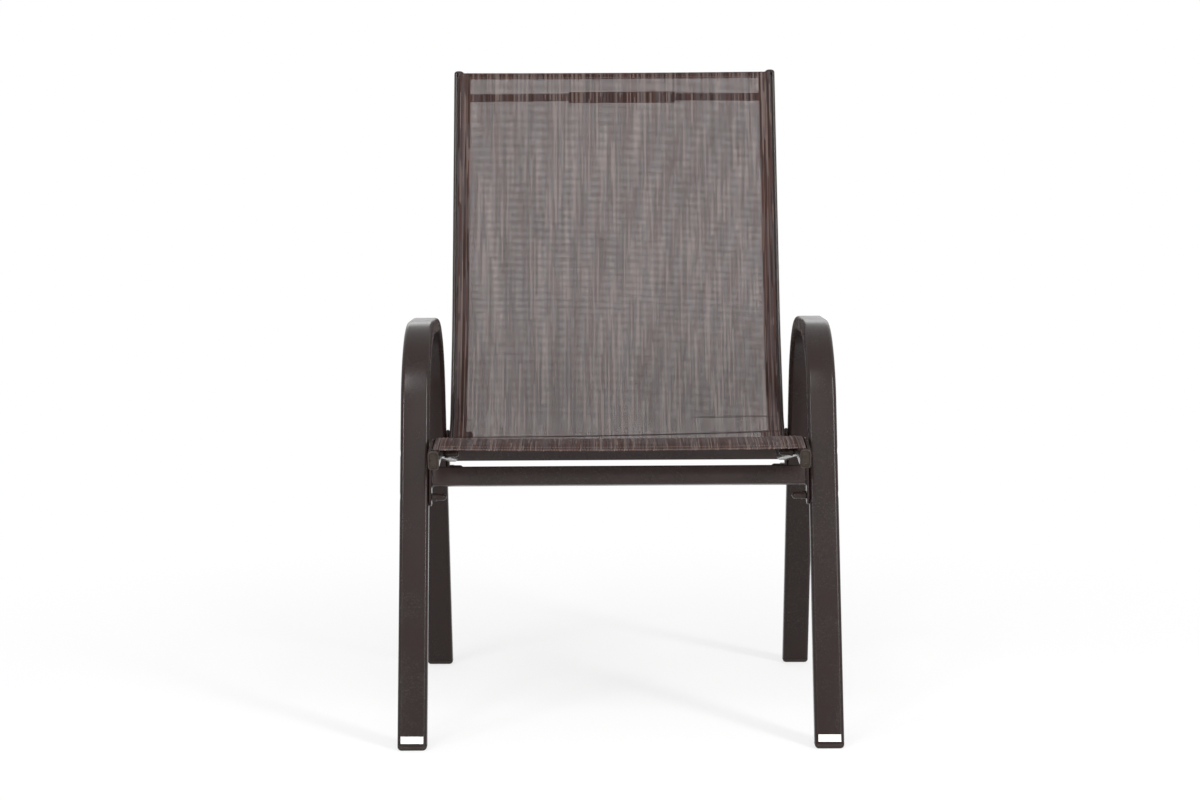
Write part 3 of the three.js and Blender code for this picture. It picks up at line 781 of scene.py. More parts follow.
weave = woven_yarns()
coat = powder_coat()
plastic = moulded_plastic()
frame_coat, stretcher_coat_painted_lighter, rail_coat = [
    coated(name, colour, (0.16, 0.14, 0.125), ripple_size, 0.76, 0.00003, specular)
    for name, colour, ripple_size, specular in [
        ("brown powder coat", (0.0180, 0.0100, 0.0092), 0.0016, 0.24),
        # The stretchers' coat is the frame's brown painted lighter, to make up for the seat's shade
        # on them
        ("brown stretcher coat painted lighter", (0.0350, 0.0235, 0.0222), 0.0016, 0.24),
        ("brown rail coat", (0.0240, 0.0150, 0.0135), 0.0014, 0.32),
    ]
]
black_steel = coated(
    "blackened steel", (0.022, 0.020, 0.019), (0.10, 0.09, 0.08), 0.0009, 0.6, 0.00002, 0.5, 0.6
)
olive_plastic, dark_plastic, spline_plastic, nut_plastic, label_film, thread_finish = [
    moulded(name, *colours, *surface)
    for (name, *colours), surface in [
        (
            ("olive brown plastic", (0.025, 0.0165, 0.0115), (0.038, 0.026, 0.018)),
            (0.0006, 0.72, 0.00002, 0.3),
        ),
        (
            ("dark brown plastic", (0.026, 0.0175, 0.016), (0.036, 0.026, 0.023)),
            (0.0007, 0.6, 0.00002, 0.2),
        ),
        (
            ("extruded spline plastic", (0.09, 0.08, 0.072), (0.13, 0.12, 0.11)),
            (0.001, 0.5, 0.00002, 0.4),
        ),
        (
            ("nut cover plastic", (0.022, 0.014, 0.012), (0.032, 0.022, 0.019)),
            (0.0005, 0.84, 0.00001, 0.2),
        ),
        (
            ("blank label film", (0.90, 0.89, 0.87), (0.84, 0.82, 0.79)),
            (0.0012, 0.5, 0.00001, 0.4),
        ),
        (
            ("bronze sewing thread", (0.20, 0.135, 0.105), (0.28, 0.20, 0.155)),
            (0.0004, 0.5, 0.00004, 0.3),
        ),
    ]
]
sling_cloth = woven("sling weave", 0.68, 0.60)
hem_cloth = woven("hem weave", 0.92, 0.90)


def finished(piece, finish, material_slot, *nodes):
    """Gives a piece its finish and the body it moves with; the material slot it is given is not
    used.
    """
    piece.data.materials.clear()
    piece.data.materials.append(finish)
    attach(piece, "root")
    if nodes:
        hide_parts(*nodes)
    return piece


# Side frames and foot caps
def cut_level(piece, height):
    """Cuts off what is below a height, and closes the cut."""
    shell = bmesh.new()
    shell.from_mesh(piece.data)
    everything = [*shell.verts, *shell.edges, *shell.faces]
    cut = bmesh.ops.bisect_plane(
        shell, geom=everything, plane_co=(0, 0, height), plane_no=(0, 0, -1), clear_outer=True
    )
    rims = [part for part in cut["geom_cut"] if isinstance(part, bmesh.types.BMEdge)]
    bmesh.ops.holes_fill(shell, edges=rims)
    bmesh.ops.recalc_face_normals(shell, faces=shell.faces)
    shell.to_mesh(piece.data)
    shell.free()


def dish_cutters(facing):
    """The shapes pressed into a leg's outer face, where the bolt heads sit."""
    face = CHAIR_WIDTH / 2
    lip = DISH_MOUTH - DISH_RADIUS
    curve = [(DISH_MOUTH - lip * x, face - lip + lip * y) for x, y in quarter_arc(8)]
    profile = [(DISH_RADIUS, WASHER_BASE - FIT), *curve, (DISH_MOUTH, face + lip)]
    places = [*upper_bolts.values(), *lower_bolts.values()]
    cutters = [turned("cutter", profile, 40, in_chair(0, place), facing) for place in places]
    return joined("bolt seat cutters", cutters)


def side_frame(name, facing):
    line = trimmed(side_frame_line, -LEG_WIDTH, -LEG_WIDTH)
    points = [in_chair(facing * LEG_CENTRE, point) for point, heading in line]
    sizes = (LEG_WIDTH, LEG_THICKNESS, LEG_CORNER)
    tube = oblong_tube(f"leg_and_arm_tube_{name}", points, (1.0, 0.0, 0.0), *sizes, frame_coat)
    cut_level(tube, FOOT_HEIGHT + FIT)
    cutters = dish_cutters(facing)
    seats = tube.modifiers.new("bolt seats", "BOOLEAN")
    seats.object = cutters
    made_plain(tube)
    bpy.data.objects.remove(cutters)
    smooth(tube.data)
    return finished(tube, frame_coat, "frame_coat", f"side_frame_{name}")


def foot_cap(name, end, facing, foot, up):
    """A moulded cap in a leg's own outline, rounded under its edges, with a plug in the tube."""
    levels = [(PLUG_WALL, 3 * FOOT_HEIGHT), (PLUG_WALL, FOOT_HEIGHT), (0, FOOT_HEIGHT)]
    levels += [(FOOT_ROUND * (1 - x), FOOT_ROUND * (1 - y)) for x, y in quarter_arc(7)]
    rings = []
    for inset, height in levels:
        width, depth = LEG_WIDTH - 2 * inset, LEG_THICKNESS - 2 * inset
        middle = foot + up * (height / up.y)
        rings.append(
            [
                in_chair(facing * LEG_CENTRE + spot.x, middle + Vector((spot.y / up.y, 0)))
                for spot in rounded_rectangle(width, depth, LEG_CORNER - inset)
            ]
        )
    cap = loft(f"foot_cap_moulded_{end}_{name}", rings)
    return finished(cap, dark_plastic, "dark_plastic", f"foot_cap_{end}_{name}")


# Sling rails and their end caps
def rail_outline(facing):
    """An oblong tube's outline with a narrow slot that opens into a round channel."""
    slot = RAIL_WIDTH / 2 - SLOT_INSET
    lip = SLOT_WIDTH / 2 + SLOT_OPENING
    inner, outer_side = [math.asin(half / CHANNEL_RADIUS) for half in (SLOT_WIDTH / 2, lip)]
    top = RAIL_DEPTH / 2
    outer = rounded_rectangle(RAIL_WIDTH, RAIL_DEPTH, RAIL_CORNER, 5)
    first_quarter, others = outer[:6], outer[6:]
    clockwise = [*reversed(first_quarter), *reversed(others)]
    points = [Vector((slot + lip, top)), *clockwise, Vector((slot - SLOT_WIDTH / 2, top))]
    for step in range(15):
        angle = math.pi / 2 + inner + (2 * math.pi - inner - outer_side) * step / 14
        points.append(Vector((slot, CHANNEL_CENTRE)) + heading_at(angle) * CHANNEL_RADIUS)
    return [Vector((point.x * facing, point.y)) for point in points]


def sling_rail(name, facing):
    rail = sweep(f"bent_rail_{name}", rail_outline(facing), rail_line, facing * RAIL_CENTRE)
    return finished(rail, rail_coat, "rail_coat", f"sling_rail_{name}")


def rail_cap(piece_name, facing, station, away, outline_at, levels):
    """A cap over a rail's end, from levels of (inset from the rail's outline, rise)."""
    point, heading = station
    rings = []
    for inset, rise in levels:
        place = point + heading * (away * (FIT + rise))
        rings.append(ring_at(outline_at(inset), (place, heading), facing * RAIL_CENTRE))
    return loft(piece_name, rings)


def front_cap_outline(inset):
    """An oblong with oval corners, longer below than above."""
    corners = [[max(reach - inset, 0.0004) for reach in corner] for corner in FRONT_CAP_CORNERS]
    return oval_cornered(RAIL_WIDTH - 2 * inset, RAIL_DEPTH - 2 * inset, corners, 8)


def front_rail_cap(name, facing):
    """A cap with a round edge, a raised rim, and a small moulded pip near its lower end."""
    edge, rim, face = 0.0014, 0.0019, CAP_PLATE - 0.0012
    levels = [(0, 0), (0, CAP_PLATE - edge)]
    levels += [(edge * (1 - x), CAP_PLATE - edge + edge * y) for x, y in quarter_arc(4, 1)]
    levels += [(rim, CAP_PLATE), (rim + 0.0006, face), (0.0056, face)]
    plate = rail_cap("cap plate", facing, rail_line[0], -1, front_cap_outline, levels)
    point, heading = rail_line[0]
    middle = Vector((PIP_PLACE[0] * facing, PIP_PLACE[1]))
    pip = []
    for step in range(6):
        angle = math.pi / 2 * step / 5.3
        ring = [spot + middle for spot in circle(PIP_RADIUS * math.cos(angle), 12)]
        rise = FIT + face + PIP_HEIGHT * math.sin(angle)
        pip.append(ring_at(ring, (point - heading * rise, heading), facing * RAIL_CENTRE))
    cap = joined(f"rail_end_cap_front_{name}", [plate, loft("cap pip", pip)])
    return finished(cap, olive_plastic, "front_cap_plastic", f"rail_cap_front_{name}")


def top_cap_outline(inset):
    width = RAIL_WIDTH - 2 * inset
    corner = min(max(RAIL_WIDTH * 0.45 - inset, 0.0005), width / 2.01)
    return rounded_rectangle(width, RAIL_DEPTH - 2 * inset, corner)


def top_rail_cap(name, facing):
    reach = RAIL_WIDTH * 0.46
    levels = [(0, 0), (0, CAP_PLATE)]
    levels += [(reach * (1 - x), CAP_PLATE + CAP_DOME * y) for x, y in quarter_arc(8, 1)]
    cap = rail_cap(f"rail_dome_cap_top_{name}", facing, rail_line[-1], 1, top_cap_outline, levels)
    return finished(cap, dark_plastic, "dark_plastic", f"rail_cap_top_{name}")


# Stretchers, end plates and their welds
def upright(end):
    """The middle between a leg's two bolts, and the direction from the lower to the upper."""
    middle = (upper_bolts[end] + lower_bolts[end]) / 2
    return middle, (upper_bolts[end] - lower_bolts[end]).normalized()


def upright_ring(outline, across, middle, up):
    """A section drawn along the depth (x) and up the leg's line (y)."""
    back = Vector((up.y, -up.x))
    return [in_chair(across, middle + back * spot.x + up * spot.y) for spot in outline]


def stretcher_middle(end):
    """The middle of a stretcher's section, and the direction up its leg's line."""
    middle, up = upright(end)
    return middle - up * STRETCHER_DROP[end], up


def stretcher(end):
    middle, up = stretcher_middle(end)
    reach = PLATE_INNER - FIT
    points = [in_chair(-reach, middle), in_chair(reach, middle)]
    edge, sizes = (0.0, up.x, up.y), (STRETCHER_HEIGHT, STRETCHER_DEPTH, STRETCHER_CORNER)
    # Painted light: the stretchers get the frame's brown painted lighter, against the shade under
    # the seat
    bar = oblong_tube(f"stretcher_tube_{end}", points, edge, *sizes, stretcher_coat_painted_lighter)
    smooth(bar.data)
    return finished(bar, stretcher_coat_painted_lighter, "frame_coat", f"{end}_stretcher")


def end_plate(name, end, facing):
    middle, up = upright(end)
    middle -= up * ((PLATE_BOTTOM_MARGIN - PLATE_TOP_MARGIN) / 2)
    bevel = 0.0007
    length = BOLT_SPACING[end] + PLATE_TOP_MARGIN + PLATE_BOTTOM_MARGIN
    rings = []
    for inset, along in (
        (bevel, PLATE_INNER),
        (0.0, PLATE_INNER + bevel),
        (0.0, PLATE_OUTER - bevel),
        (bevel, PLATE_OUTER),
    ):
        width = PLATE_WIDTH - 2 * inset
        outline = rounded_rectangle(width, length - 2 * inset, width / 2.001, 10)
        rings.append(upright_ring(outline, facing * along, middle, up))
    plate = loft(f"end_plate_{end}_{name}", rings)
    return finished(plate, frame_coat, "frame_coat", f"stretcher_plate_{end}_{name}")


def weld_beads():
    """Ripples of weld round both ends of both stretchers."""
    outline = rounded_rectangle(STRETCHER_DEPTH, STRETCHER_HEIGHT, STRETCHER_CORNER)
    loops = []
    for end in ENDS:
        middle, up = stretcher_middle(end)
        for facing in SIDES.values():
            points = upright_ring(outline, facing * (PLATE_INNER - 2 * FIT), middle, up)
            seed = len(loops) + 3
            loops.append(bead_row(points, 0.0014, 0.0022, 0.0029, 0.18, seed, frame_coat, True))
    return finished(joined("stretcher_welds", loops), frame_coat, "frame_coat")


# Spreader behind the top of the back
def collar(name, inner, outer, centre, width, edge):
    """A short tube along X with rounded rims."""
    start, end = centre - width / 2, centre + width / 2
    profile = [(inner, start), (outer - edge, start)]
    profile += [(outer - edge * (1 - y), start + edge * (1 - x)) for x, y in quarter_arc(3, 1)]
    profile += [(outer - edge * (1 - x), end - edge * (1 - y)) for x, y in quarter_arc(3)]
    return turned(name, [*profile, (inner, end)], 40, in_chair(0, spreader_place), looped=True)


def spreader():
    for name, facing in SIDES.items():
        radius = BAR_DIAMETER / 2
        edge = 0.0008
        profile = [
            (radius - edge, BAR_GAP / 2),
            (radius, BAR_GAP / 2 + edge),
            (radius, RAIL_INNER + BAR_SEAT),
            (radius - edge, RAIL_INNER + BAR_SEAT + edge),
        ]
        bar = turned(f"spreader_tube_{name}", profile, 32, in_chair(0, spreader_place), facing)
        finished(bar, rail_coat, "rail_coat", f"spreader_bar_{name}")
    bore, outer = BAR_DIAMETER / 2 + FIT, SLEEVE_DIAMETER / 2
    sleeve = collar("spreader_cover_tube", bore, outer, SLEEVE_SHIFT, SLEEVE_LENGTH, 0.0008)
    finished(sleeve, rail_coat, "rail_coat", "spreader_sleeve")
    bore, outer = outer + FIT, CLAMP_DIAMETER / 2
    clamp = collar("spreader_clamp_ring", bore, outer, CLAMP_REACH, CLAMP_WIDTH, 0.0006)
    finished(clamp, black_steel, "dark_steel", "spreader_ring")


# Bolts, washers, cap nuts and spacers
def hexagon(across, sides=36):
    """Spots of a hexagon, as many as a circle of the same number of sides has."""
    spots = []
    for side in range(sides):
        angle = 2 * math.pi * side / sides
        off = (angle + math.pi / 6) % (math.pi / 3) - math.pi / 6
        spots.append(heading_at(angle) * (across / 2 / math.cos(off)))
    return spots


def fastener_set(name, single, across, rows, turn, finish, material_slot, nodes):
    """A fastener at each bolt of the given rows, on both sides of the chair."""
    places = [place for row in rows for place in row.values()]
    spots = [(facing, place) for place in places for facing in SIDES.values()]
    mesh = mesh_of(name, [in_chair(facing * across, place) for facing, place in spots])
    outwards = mesh.attributes.new("outwards", "FLOAT", "POINT")
    outwards.data.foreach_set("value", [0.0 if facing > 0 else math.pi for facing, place in spots])
    values = {"Fastener": single, "Turn": turn, "Seed": len(name), "Finish": finish}
    whole = shaped(piece_of(name, mesh), fastener_tree, values)
    bpy.data.objects.remove(single)
    smooth(whole.data)
    return finished(whole, finish, material_slot, *nodes)


def bolt(length):
    """A button head bolt with a hexagon socket, its head's base at the origin."""
    radius = HEAD_DIAMETER / 2
    shank = BOLT_DIAMETER / 2
    socket = hexagon(0.0038)
    profile = [(shank - 0.0006, -length), (shank, 0.0006 - length), (shank, 0), (radius, 0)]
    for step in range(6):
        angle = math.pi / 2 * step / 6
        profile.append((radius * math.cos(angle * 0.8), 0.0006 + 0.0024 * math.sin(angle)))
    profile += [(hexagon(0.0046), HEAD_HEIGHT), (socket, HEAD_HEIGHT - 0.0004), (socket, 0.0012)]
    return turned("bolt", profile, 36)


def washer():
    inner, outer = BOLT_DIAMETER / 2 + FIT, WASHER_DIAMETER / 2
    edge = 0.0002
    profile = [
        (inner, 0),
        (outer - edge, 0),
        (outer, edge),
        (outer, WASHER_THICKNESS - edge),
        (outer - edge, WASHER_THICKNESS),
        (inner, WASHER_THICKNESS),
    ]
    return turned("washer", profile, 40, looped=True)


def cap_nut():
    """A covered nut: a chamfered hexagon against the joint, then a slimmer domed sleeve."""
    dome = NUT_DOME / 2
    corner = NUT_ACROSS / math.sqrt(3)
    profile = [
        (hexagon(NUT_ACROSS - 0.0008), 0),
        (hexagon(NUT_ACROSS), -0.0005),
        (hexagon(NUT_ACROSS), 0.0009 - NUT_HEX),
        (corner - 0.0008, -NUT_HEX),
        (dome, -NUT_HEX - 0.0004),
        (dome, dome - NUT_LENGTH),
    ]
    for step in range(1, 9):
        angle = math.pi / 2 * step / 8
        profile.append((dome * math.cos(angle * 0.98), dome - NUT_LENGTH - dome * math.sin(angle)))
    return turned("cap nut", profile, 36)


def spacer():
    inner, outer = BOLT_DIAMETER / 2 + FIT, SPACER_DIAMETER / 2
    profile = [(inner, 0), (outer, 0), (outer, SPACER_THICKNESS), (inner, SPACER_THICKNESS)]
    return turned("spacer", profile, 40, looped=True)


def fasteners():
    rows = {"upper": (upper_bolts, RAIL_INNER - FIT), "lower": (lower_bolts, PLATE_INNER - FIT)}
    for row, (places, nut_face) in rows.items():
        tags = [f"{end}_{row}_{name}" for end in ENDS for name in SIDES]
        head, turn = bolt(HEAD_BASE - nut_face + BOLT_IN_NUT), math.pi
        look = (black_steel, "dark_steel", [f"bolt_{tag}" for tag in tags])
        fastener_set(f"button_head_bolts_{row}", head, HEAD_BASE, [places], turn, *look)
        look = (nut_plastic, "nut_cover", [f"cap_nut_{tag}" for tag in tags])
        fastener_set(f"covered_nuts_{row}", cap_nut(), nut_face, [places], turn / 3, *look)
    nodes = [f"washer_{end}_{row}_{name}" for end in ENDS for row in rows for name in SIDES]
    look = (black_steel, "dark_steel", nodes)
    fastener_set("bolt_washers", washer(), WASHER_BASE, [upper_bolts, lower_bolts], 0.0, *look)
    nodes = [f"rail_spacer_{end}_{name}" for end in ENDS for name in SIDES]
    look = (dark_plastic, "dark_plastic", nodes)
    base = SPACER_OUTER - SPACER_THICKNESS
    fastener_set("rail_joint_spacers", spacer(), base, [upper_bolts], 0.0, *look)


# Sling: rows along the rails, columns across the chair
def cloth_row_spacing(point):
    """Close rows where the cloth creases above the seat, wider ones elsewhere."""
    colour_with_painted_shade = point.x > CREASE_START[0] and CREASE_START[1] < point.y < CREASE_END
    return 0.0016 if colour_with_painted_shade else 0.007


def with_run(stations):
    """Stations with the length of cloth from the front edge to each."""
    rows, run, last = [], 0.0, None
    for point, heading in stations:
        place = point + turned_left(heading) * CLOTH_LEVEL
        run += (place - last).length if last else 0.0
        rows.append((point, heading, run))
        last = place
    return rows


def row_at(run):
    """The row of the cloth at a length from its front edge."""
    for (point, heading, before), (to, to_heading, after) in zip(cloth_rows, cloth_rows[1:]):
        if run <= after:
            share = (run - before) / (after - before)
            return point.lerp(to, share), heading.lerp(to_heading, share).normalized(), run
    return cloth_rows[-1]


def crease_at(across, run):
    """How deep the cloth's creases are at a place, from 0 to 1."""
    deepest = 0.0
    for (start, start_run), (end, end_run), depth, width in creases:
        if not start < across < end:
            continue
        share = (across - start) / (end - start)
        off = (run - start_run - (end_run - start_run) * share) / width
        fade = min(1.0, (across - start) / CREASE_FADE, (end - across) / CREASE_FADE)
        deepest = max(deepest, depth * fade * math.exp(-off * off))
    return deepest


def shade_at(across, run):
    """How much painted shade darkens the cloth: along its creases, and in a broad band above the
    seat's bend.
    """
    off = (run - PAINTED_SHADE_RUN) / PAINTED_SHADE_REACH
    return max(crease_at(across, run), PAINTED_BEND_SHADE * math.exp(-off * off))


def cloth_height(across):
    """The cloth's level over the middle of the rails, with its sag between them."""
    share = min(abs(across) / RAIL_INNER, 1.0)
    return CLOTH_LEVEL - SLING_SAG * (1 - share * share)


def on_cloth(across, row, lift=0.0):
    point, heading, run = row
    height = cloth_height(across) + lift - CREASE_DEPTH * crease_at(across, run)
    return in_chair(across, point + turned_left(heading) * height)


def cloth_columns():
    """Half of the cloth's line across: (across, drop below the cloth's level), inside first."""
    columns = [(RAIL_INNER * share / 26, 0.0) for share in range(27)]
    bend = CLOTH_EDGE - SLOT_BEND
    columns.append((bend, 0.0))
    columns += [(bend + SLOT_BEND * y, SLOT_BEND * (1 - x)) for x, y in quarter_arc(4, 1)]
    columns.append((CLOTH_EDGE, CLOTH_LEVEL - RAIL_DEPTH / 2 + TUCK_DEPTH))
    return columns


def cloth_grid(name, grid, finish, thickness):
    """A thin cloth from rows of (place, across length, run length, painted shade)."""
    columns = len(grid[0])
    spots = [spot for row in grid for spot in row]
    faces = []
    for line in range(len(grid) - 1):
        for column in range(columns - 1):
            first = line * columns + column
            faces.append((first, first + 1, first + columns + 1, first + columns))
    mesh = mesh_of(name, [spot[0] for spot in spots], faces=faces)
    cloth = mesh.uv_layers.new(name="cloth")
    for corner in mesh.loops:
        spot = spots[corner.vertex_index]
        cloth.uv[corner.index].vector = (spot[1], spot[2])
    # Painted shade on each point, read by the cloth's finish
    painted_shade = mesh.attributes.new("painted_shade", "FLOAT", "POINT")
    painted_shade.data.foreach_set("value", [spot[3] for spot in spots])
    mesh.shade_smooth()
    piece = piece_of(name, mesh)
    mesh.materials.append(finish)
    body = piece.modifiers.new("thickness", "SOLIDIFY")
    body.thickness = thickness
    body.offset = 0.0
    made_plain(piece)
    smooth(piece.data, math.radians(50))
    return piece


def sling_sheet():
    half = cloth_columns()
    lengths = [0.0]
    for (across, drop), (next_across, next_drop) in zip(half, half[1:]):
        lengths.append(lengths[-1] + math.hypot(next_across - across, next_drop - drop))
    right = [(*column, length) for column, length in zip(half, lengths)]
    both = [(-across, drop, -length) for across, drop, length in right[:0:-1]] + right
    # Each spot carries its painted shade for the cloth's finish
    grid = [
        [
            (on_cloth(across, row, -drop), length, row[2], shade_at(across, row[2]))
            for across, drop, length in both
        ]
        for row in cloth_rows
    ]
    sheet = cloth_grid("sling_sheet", grid, sling_cloth, SLING_THICKNESS)
    return finished(sheet, sling_cloth, "sling_mesh", "sling"), (2 * lengths[-1], cloth_length)


def side_hem(name, facing):
    """The doubled strip along a side, between the cloth and the rail."""
    shares = [column / 6 for column in range(7)]
    grid = []
    for row in cloth_rows:
        line = []
        for share in shares:
            across = facing * (CLOTH_EDGE - SLOT_BEND - (SIDE_HEM - SLOT_BEND) * share)
            # Painted shade, painted stronger on the hems than on the sheet
            painted_shade = min(HEM_SHADE * shade_at(across, row[2]), 1.0)
            place = on_cloth(across, row, -HEM_DROP)
            line.append((place, across + WARP_PITCH * 0.5, row[2] + WEFT_PITCH * 0.4, painted_shade))
        grid.append(line if facing < 0 else line[::-1])
    return cloth_grid(f"side_hem_{name}", grid, hem_cloth, HEM_THICKNESS)


def end_hem(name, edge_run, inwards, depth):
    """The doubled strip along the front or top edge, folded under it."""
    steps = [(depth * (1 - share / 5), -HEM_DROP) for share in range(6)]
    for step in range(1, 5):
        angle = math.pi * step / 4
        steps.append((-HEM_DROP / 2 * math.sin(angle), -HEM_DROP / 2 * (1 + math.cos(angle))))
    span = CLOTH_EDGE - SLOT_BEND
    columns = [span * (column / 26 * 2 - 1) for column in range(27)]
    grid = []
    for inset, lift in steps:
        point, heading, run = row_at(edge_run + inwards * max(inset, 0.0))
        row = (point - heading * (inwards * -min(inset, 0.0)), heading, run)
        along = edge_run + inwards * (inset + WEFT_PITCH * 0.5)
        grid.append(
            [
                (on_cloth(across, row, lift), across + WARP_PITCH * 0.5, along, 0.0)
                for across in columns
            ]
        )
    return cloth_grid(f"{name}_hem", grid if inwards < 0 else grid[::-1], hem_cloth, HEM_THICKNESS)


def seam(places, pitch=0.0036, width=0.0007):
    return bead_row(places, pitch, pitch * 0.7, width, 0.12, len(places), thread_finish)


def hem_seams():
    """Twin rows of stitches along each side hem, and rows along the end hems."""
    lift = SLING_THICKNESS / 2 + 0.0001
    rows = []
    for facing in SIDES.values():
        for inset in (0.0048, 0.0102):
            across = facing * (CLOTH_EDGE - SIDE_HEM + inset)
            rows.append([on_cloth(across, row, lift) for row in cloth_rows])
    span = RAIL_INNER - 0.004
    across = [span * (spot / 30 - 1) for spot in range(61)]
    for run in (FRONT_HEM - 0.002, cloth_length - TOP_HEM + 0.002):
        rows.append([on_cloth(place, row_at(run), lift) for place in across])
    seams = [seam(row) for row in rows]
    edge = [on_cloth(place, row_at(0.0012), lift) for place in across]
    seams.append(seam(edge, 0.0033, 0.0012))
    return finished(joined("hem_stitches", seams), thread_finish, "sling_mesh")


# Creases left by folding: (across, run) at each end, depth share, width. The depth share also
# paints shade into the cloth's colour along each crease.
creases = [
    ((-0.245, 0.4238), (0.245, 0.4367), 1.0, 0.0020),
    ((0.107, 0.466), (0.245, 0.466), 0.6, 0.0016),
    ((-0.245, 0.4625), (-0.205, 0.4625), 0.5, 0.0016),
]
cloth_rows = with_run(
    spaced(trimmed(rail_line, SLING_FRONT_INSET, SLING_TOP_INSET), cloth_row_spacing)
)
cloth_length = cloth_rows[-1][2]


# The whole chair
for name, facing in SIDES.items():
    side_frame(name, facing)
    foot_cap(name, "front", facing, front_foot, front_leg_up)
    foot_cap(name, "rear", facing, rear_foot, rear_leg_up)
    sling_rail(name, facing)
    front_rail_cap(name, facing)
    top_rail_cap(name, facing)
    for end in ENDS:
        end_plate(name, end, facing)
    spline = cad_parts[f"sling_spline_{name}"]
    spline.data.materials.clear()
    spline.data.materials.append(spline_plastic)
for end in ENDS:
    stretcher(end)
weld_beads()
spreader()
fasteners()

sheet, flat_size = sling_sheet()
hems = [side_hem(name, facing) for name, facing in SIDES.items()]
hems += [end_hem("front", 0.0, 1, FRONT_HEM), end_hem("top", cloth_length, -1, TOP_HEM)]
for hem in hems:
    finished(hem, hem_cloth, "sling_mesh")
stitches = hem_seams()


# Blank labels on the front feet
def leg_front_outline(length, lift):
    """Spots along a leg's front face, round its corners, over a length centred on it."""
    flat, spots = LEG_WIDTH / 2 - LEG_CORNER, 16
    outline = []
    for spot in range(spots + 1):
        along = length * (spot / spots - 0.5)
        past = max(abs(along) - flat, 0.0) / LEG_CORNER
        side = math.copysign(1, along)
        across = min(abs(along), flat) + (LEG_CORNER + lift) * math.sin(past)
        depth = LEG_THICKNESS / 2 - LEG_CORNER + (LEG_CORNER + lift) * math.cos(past)
        outline.append(Vector((side * across, depth)))
    return outline


def foot_label(name, facing):
    """A small blank film label, stuck round the front of a front leg just over its foot."""
    width, height, bottom, tilt, thickness = 0.029, 0.0088, 0.0066, -0.006, 0.00012
    outline = leg_front_outline(width, 0.0001)
    grid = []
    for step in range(5):
        line = []
        for spot in outline:
            rise = bottom + height * step / 4 + tilt * spot.x
            middle = front_foot + front_leg_up * (rise / front_leg_up.y)
            place = middle + turned_left(front_leg_up) * spot.y
            line.append((in_chair(facing * LEG_CENTRE + spot.x, place), 0.0, 0.0, 0.0))
        grid.append(line)
    label = cloth_grid(f"blank_label_{name}", grid, label_film, thickness)
    return finished(label, label_film, "dark_plastic")


for name, facing in SIDES.items():
    foot_label(name, facing)


# Studio: pale floor, soft light, white surroundings
def seen_directly(tree):
    """1 for what the camera sees, also in gloss and through clear things."""
    path = add(tree, "ShaderNodeLightPath")
    mirrored = maths(tree, "MAXIMUM", path["Is Glossy Ray"], path["Is Transmission Ray"])
    return maths(tree, "MAXIMUM", path["Is Camera Ray"], mirrored)


def end_in_white(tree, share, lit, white, end):
    """Closes a tree: its lit shader, with a share of plain white over it."""
    shown = add(tree, "ShaderNodeMixShader", {0: share, 1: lit, 2: white})[0]
    add(tree, end, {"Surface": shown})


def surroundings():
    """The world: even soft light, seen as plain white."""
    world = bpy.data.worlds.new("studio")
    bpy.context.scene.world = world
    world.use_nodes = True
    tree = world.node_tree
    tree.nodes.clear()
    lit, white = [
        add(tree, "ShaderNodeBackground", {"Color": linear(1, 1, 1), "Strength": strength})[0]
        for strength in (WORLD_LIGHT, 1.0)
    ]
    end_in_white(tree, seen_directly(tree), lit, white, "ShaderNodeOutputWorld")


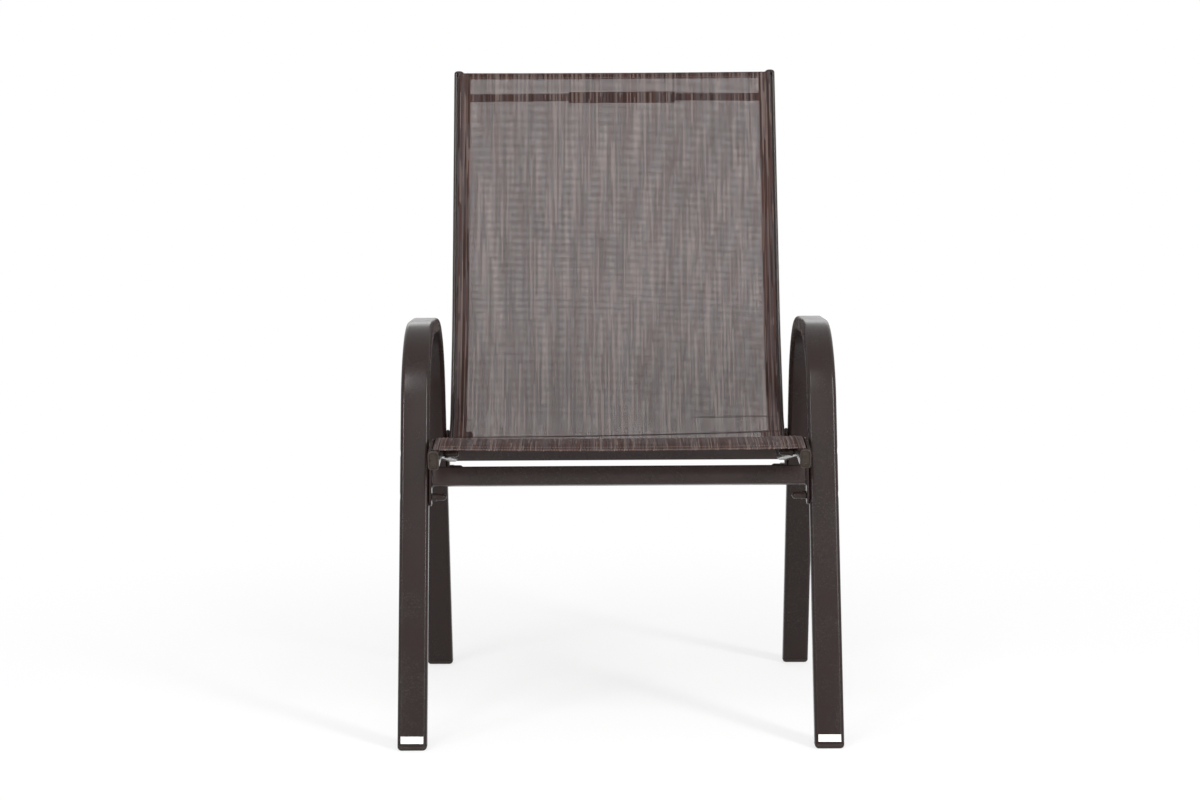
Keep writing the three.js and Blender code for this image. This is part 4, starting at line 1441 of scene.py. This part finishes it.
def pale_floor():
    """A pale floor that is seen as white, and keeps the chair's soft shadow."""
    reach, level = 9.0, -0.0002
    corners = [(-reach, -reach), (reach, -reach), (reach, reach), (-reach, reach)]
    mesh = mesh_of("floor", [(*corner, level) for corner in corners], faces=[(0, 1, 2, 3)])
    floor = piece_of("floor", mesh)
    material = bpy.data.materials.new("pale floor")
    material.use_nodes = True
    tree = material.node_tree
    tree.nodes.clear()
    pale = add(tree, "ShaderNodeBsdfDiffuse", {"Color": linear(0.96, 0.96, 0.96)})[0]
    white = add(tree, "ShaderNodeEmission", {"Color": linear(1, 1, 1), "Strength": 1.0})[0]
    place = add(tree, "ShaderNodeTexCoord")["Object"]
    away = add(tree, "ShaderNodeVectorMath", {0: place}, operation="LENGTH")["Value"]
    whiter = remapped(tree, away, 0.35, 1.5, FLOOR_WHITE, 1.0)
    share = maths(tree, "MULTIPLY", seen_directly(tree), whiter)
    end_in_white(tree, share, pale, white, "ShaderNodeOutputMaterial")
    mesh.materials.append(material)


def soft_light(name, place, width, height, power):
    """A soft panel that faces the middle of the chair."""
    light = bpy.data.lights.new(name, "AREA")
    light.shape = "RECTANGLE"
    light.size = width
    light.size_y = height
    light.energy = power
    lamp = piece_of(name, light)
    lamp.location = place
    towards = Vector((0, 0, ARM_HEIGHT)) - Vector(place)
    lamp.rotation_euler = towards.to_track_quat("-Z", "Y").to_euler()


def camera():
    """The photograph's view: a long lens, a little above seat height, looking slightly down."""
    lens = bpy.data.cameras.new("camera")
    lens.lens = 72
    lens.sensor_width = 36
    stand = piece_of("camera", lens)
    stand.location = (-0.0226, FLOOR_FRONT - 3.0200, 0.7357)
    stand.rotation_euler = [math.radians(turn) for turn in (90 - 5.382, 0.32, 0.0025)]
    bpy.context.scene.camera = stand


surroundings()
pale_floor()
soft_light("front light", (-0.2, -2.45, 3.2), 1.5, 1.4, 14)
soft_light("low front light", (0, -3.4, 2.2), 2.0, 1.0, 7)
soft_light("back light", (0, 2.6, 1.68), 2.4, 0.8, 9)
soft_light("left strip", (-1.9, -2.3, 1.65), 0.5, 0.45, 16)
soft_light("right strip", (1.9, -2.3, 1.45), 0.5, 0.8, 21)
soft_light("upper left strip", (-1.1, -2.3, 3.1), 0.4, 0.9, 17)
soft_light("upper right strip", (1.9, -2.3, 2.6), 0.35, 1.4, 42)
soft_light("low left light", (-1.6, -3.2, 0.3), 1.0, 0.5, 14)
soft_light("low right light", (1.6, -3.2, 0.3), 1.0, 0.5, 11)
camera()
bpy.context.scene.view_settings.view_transform = "Standard"
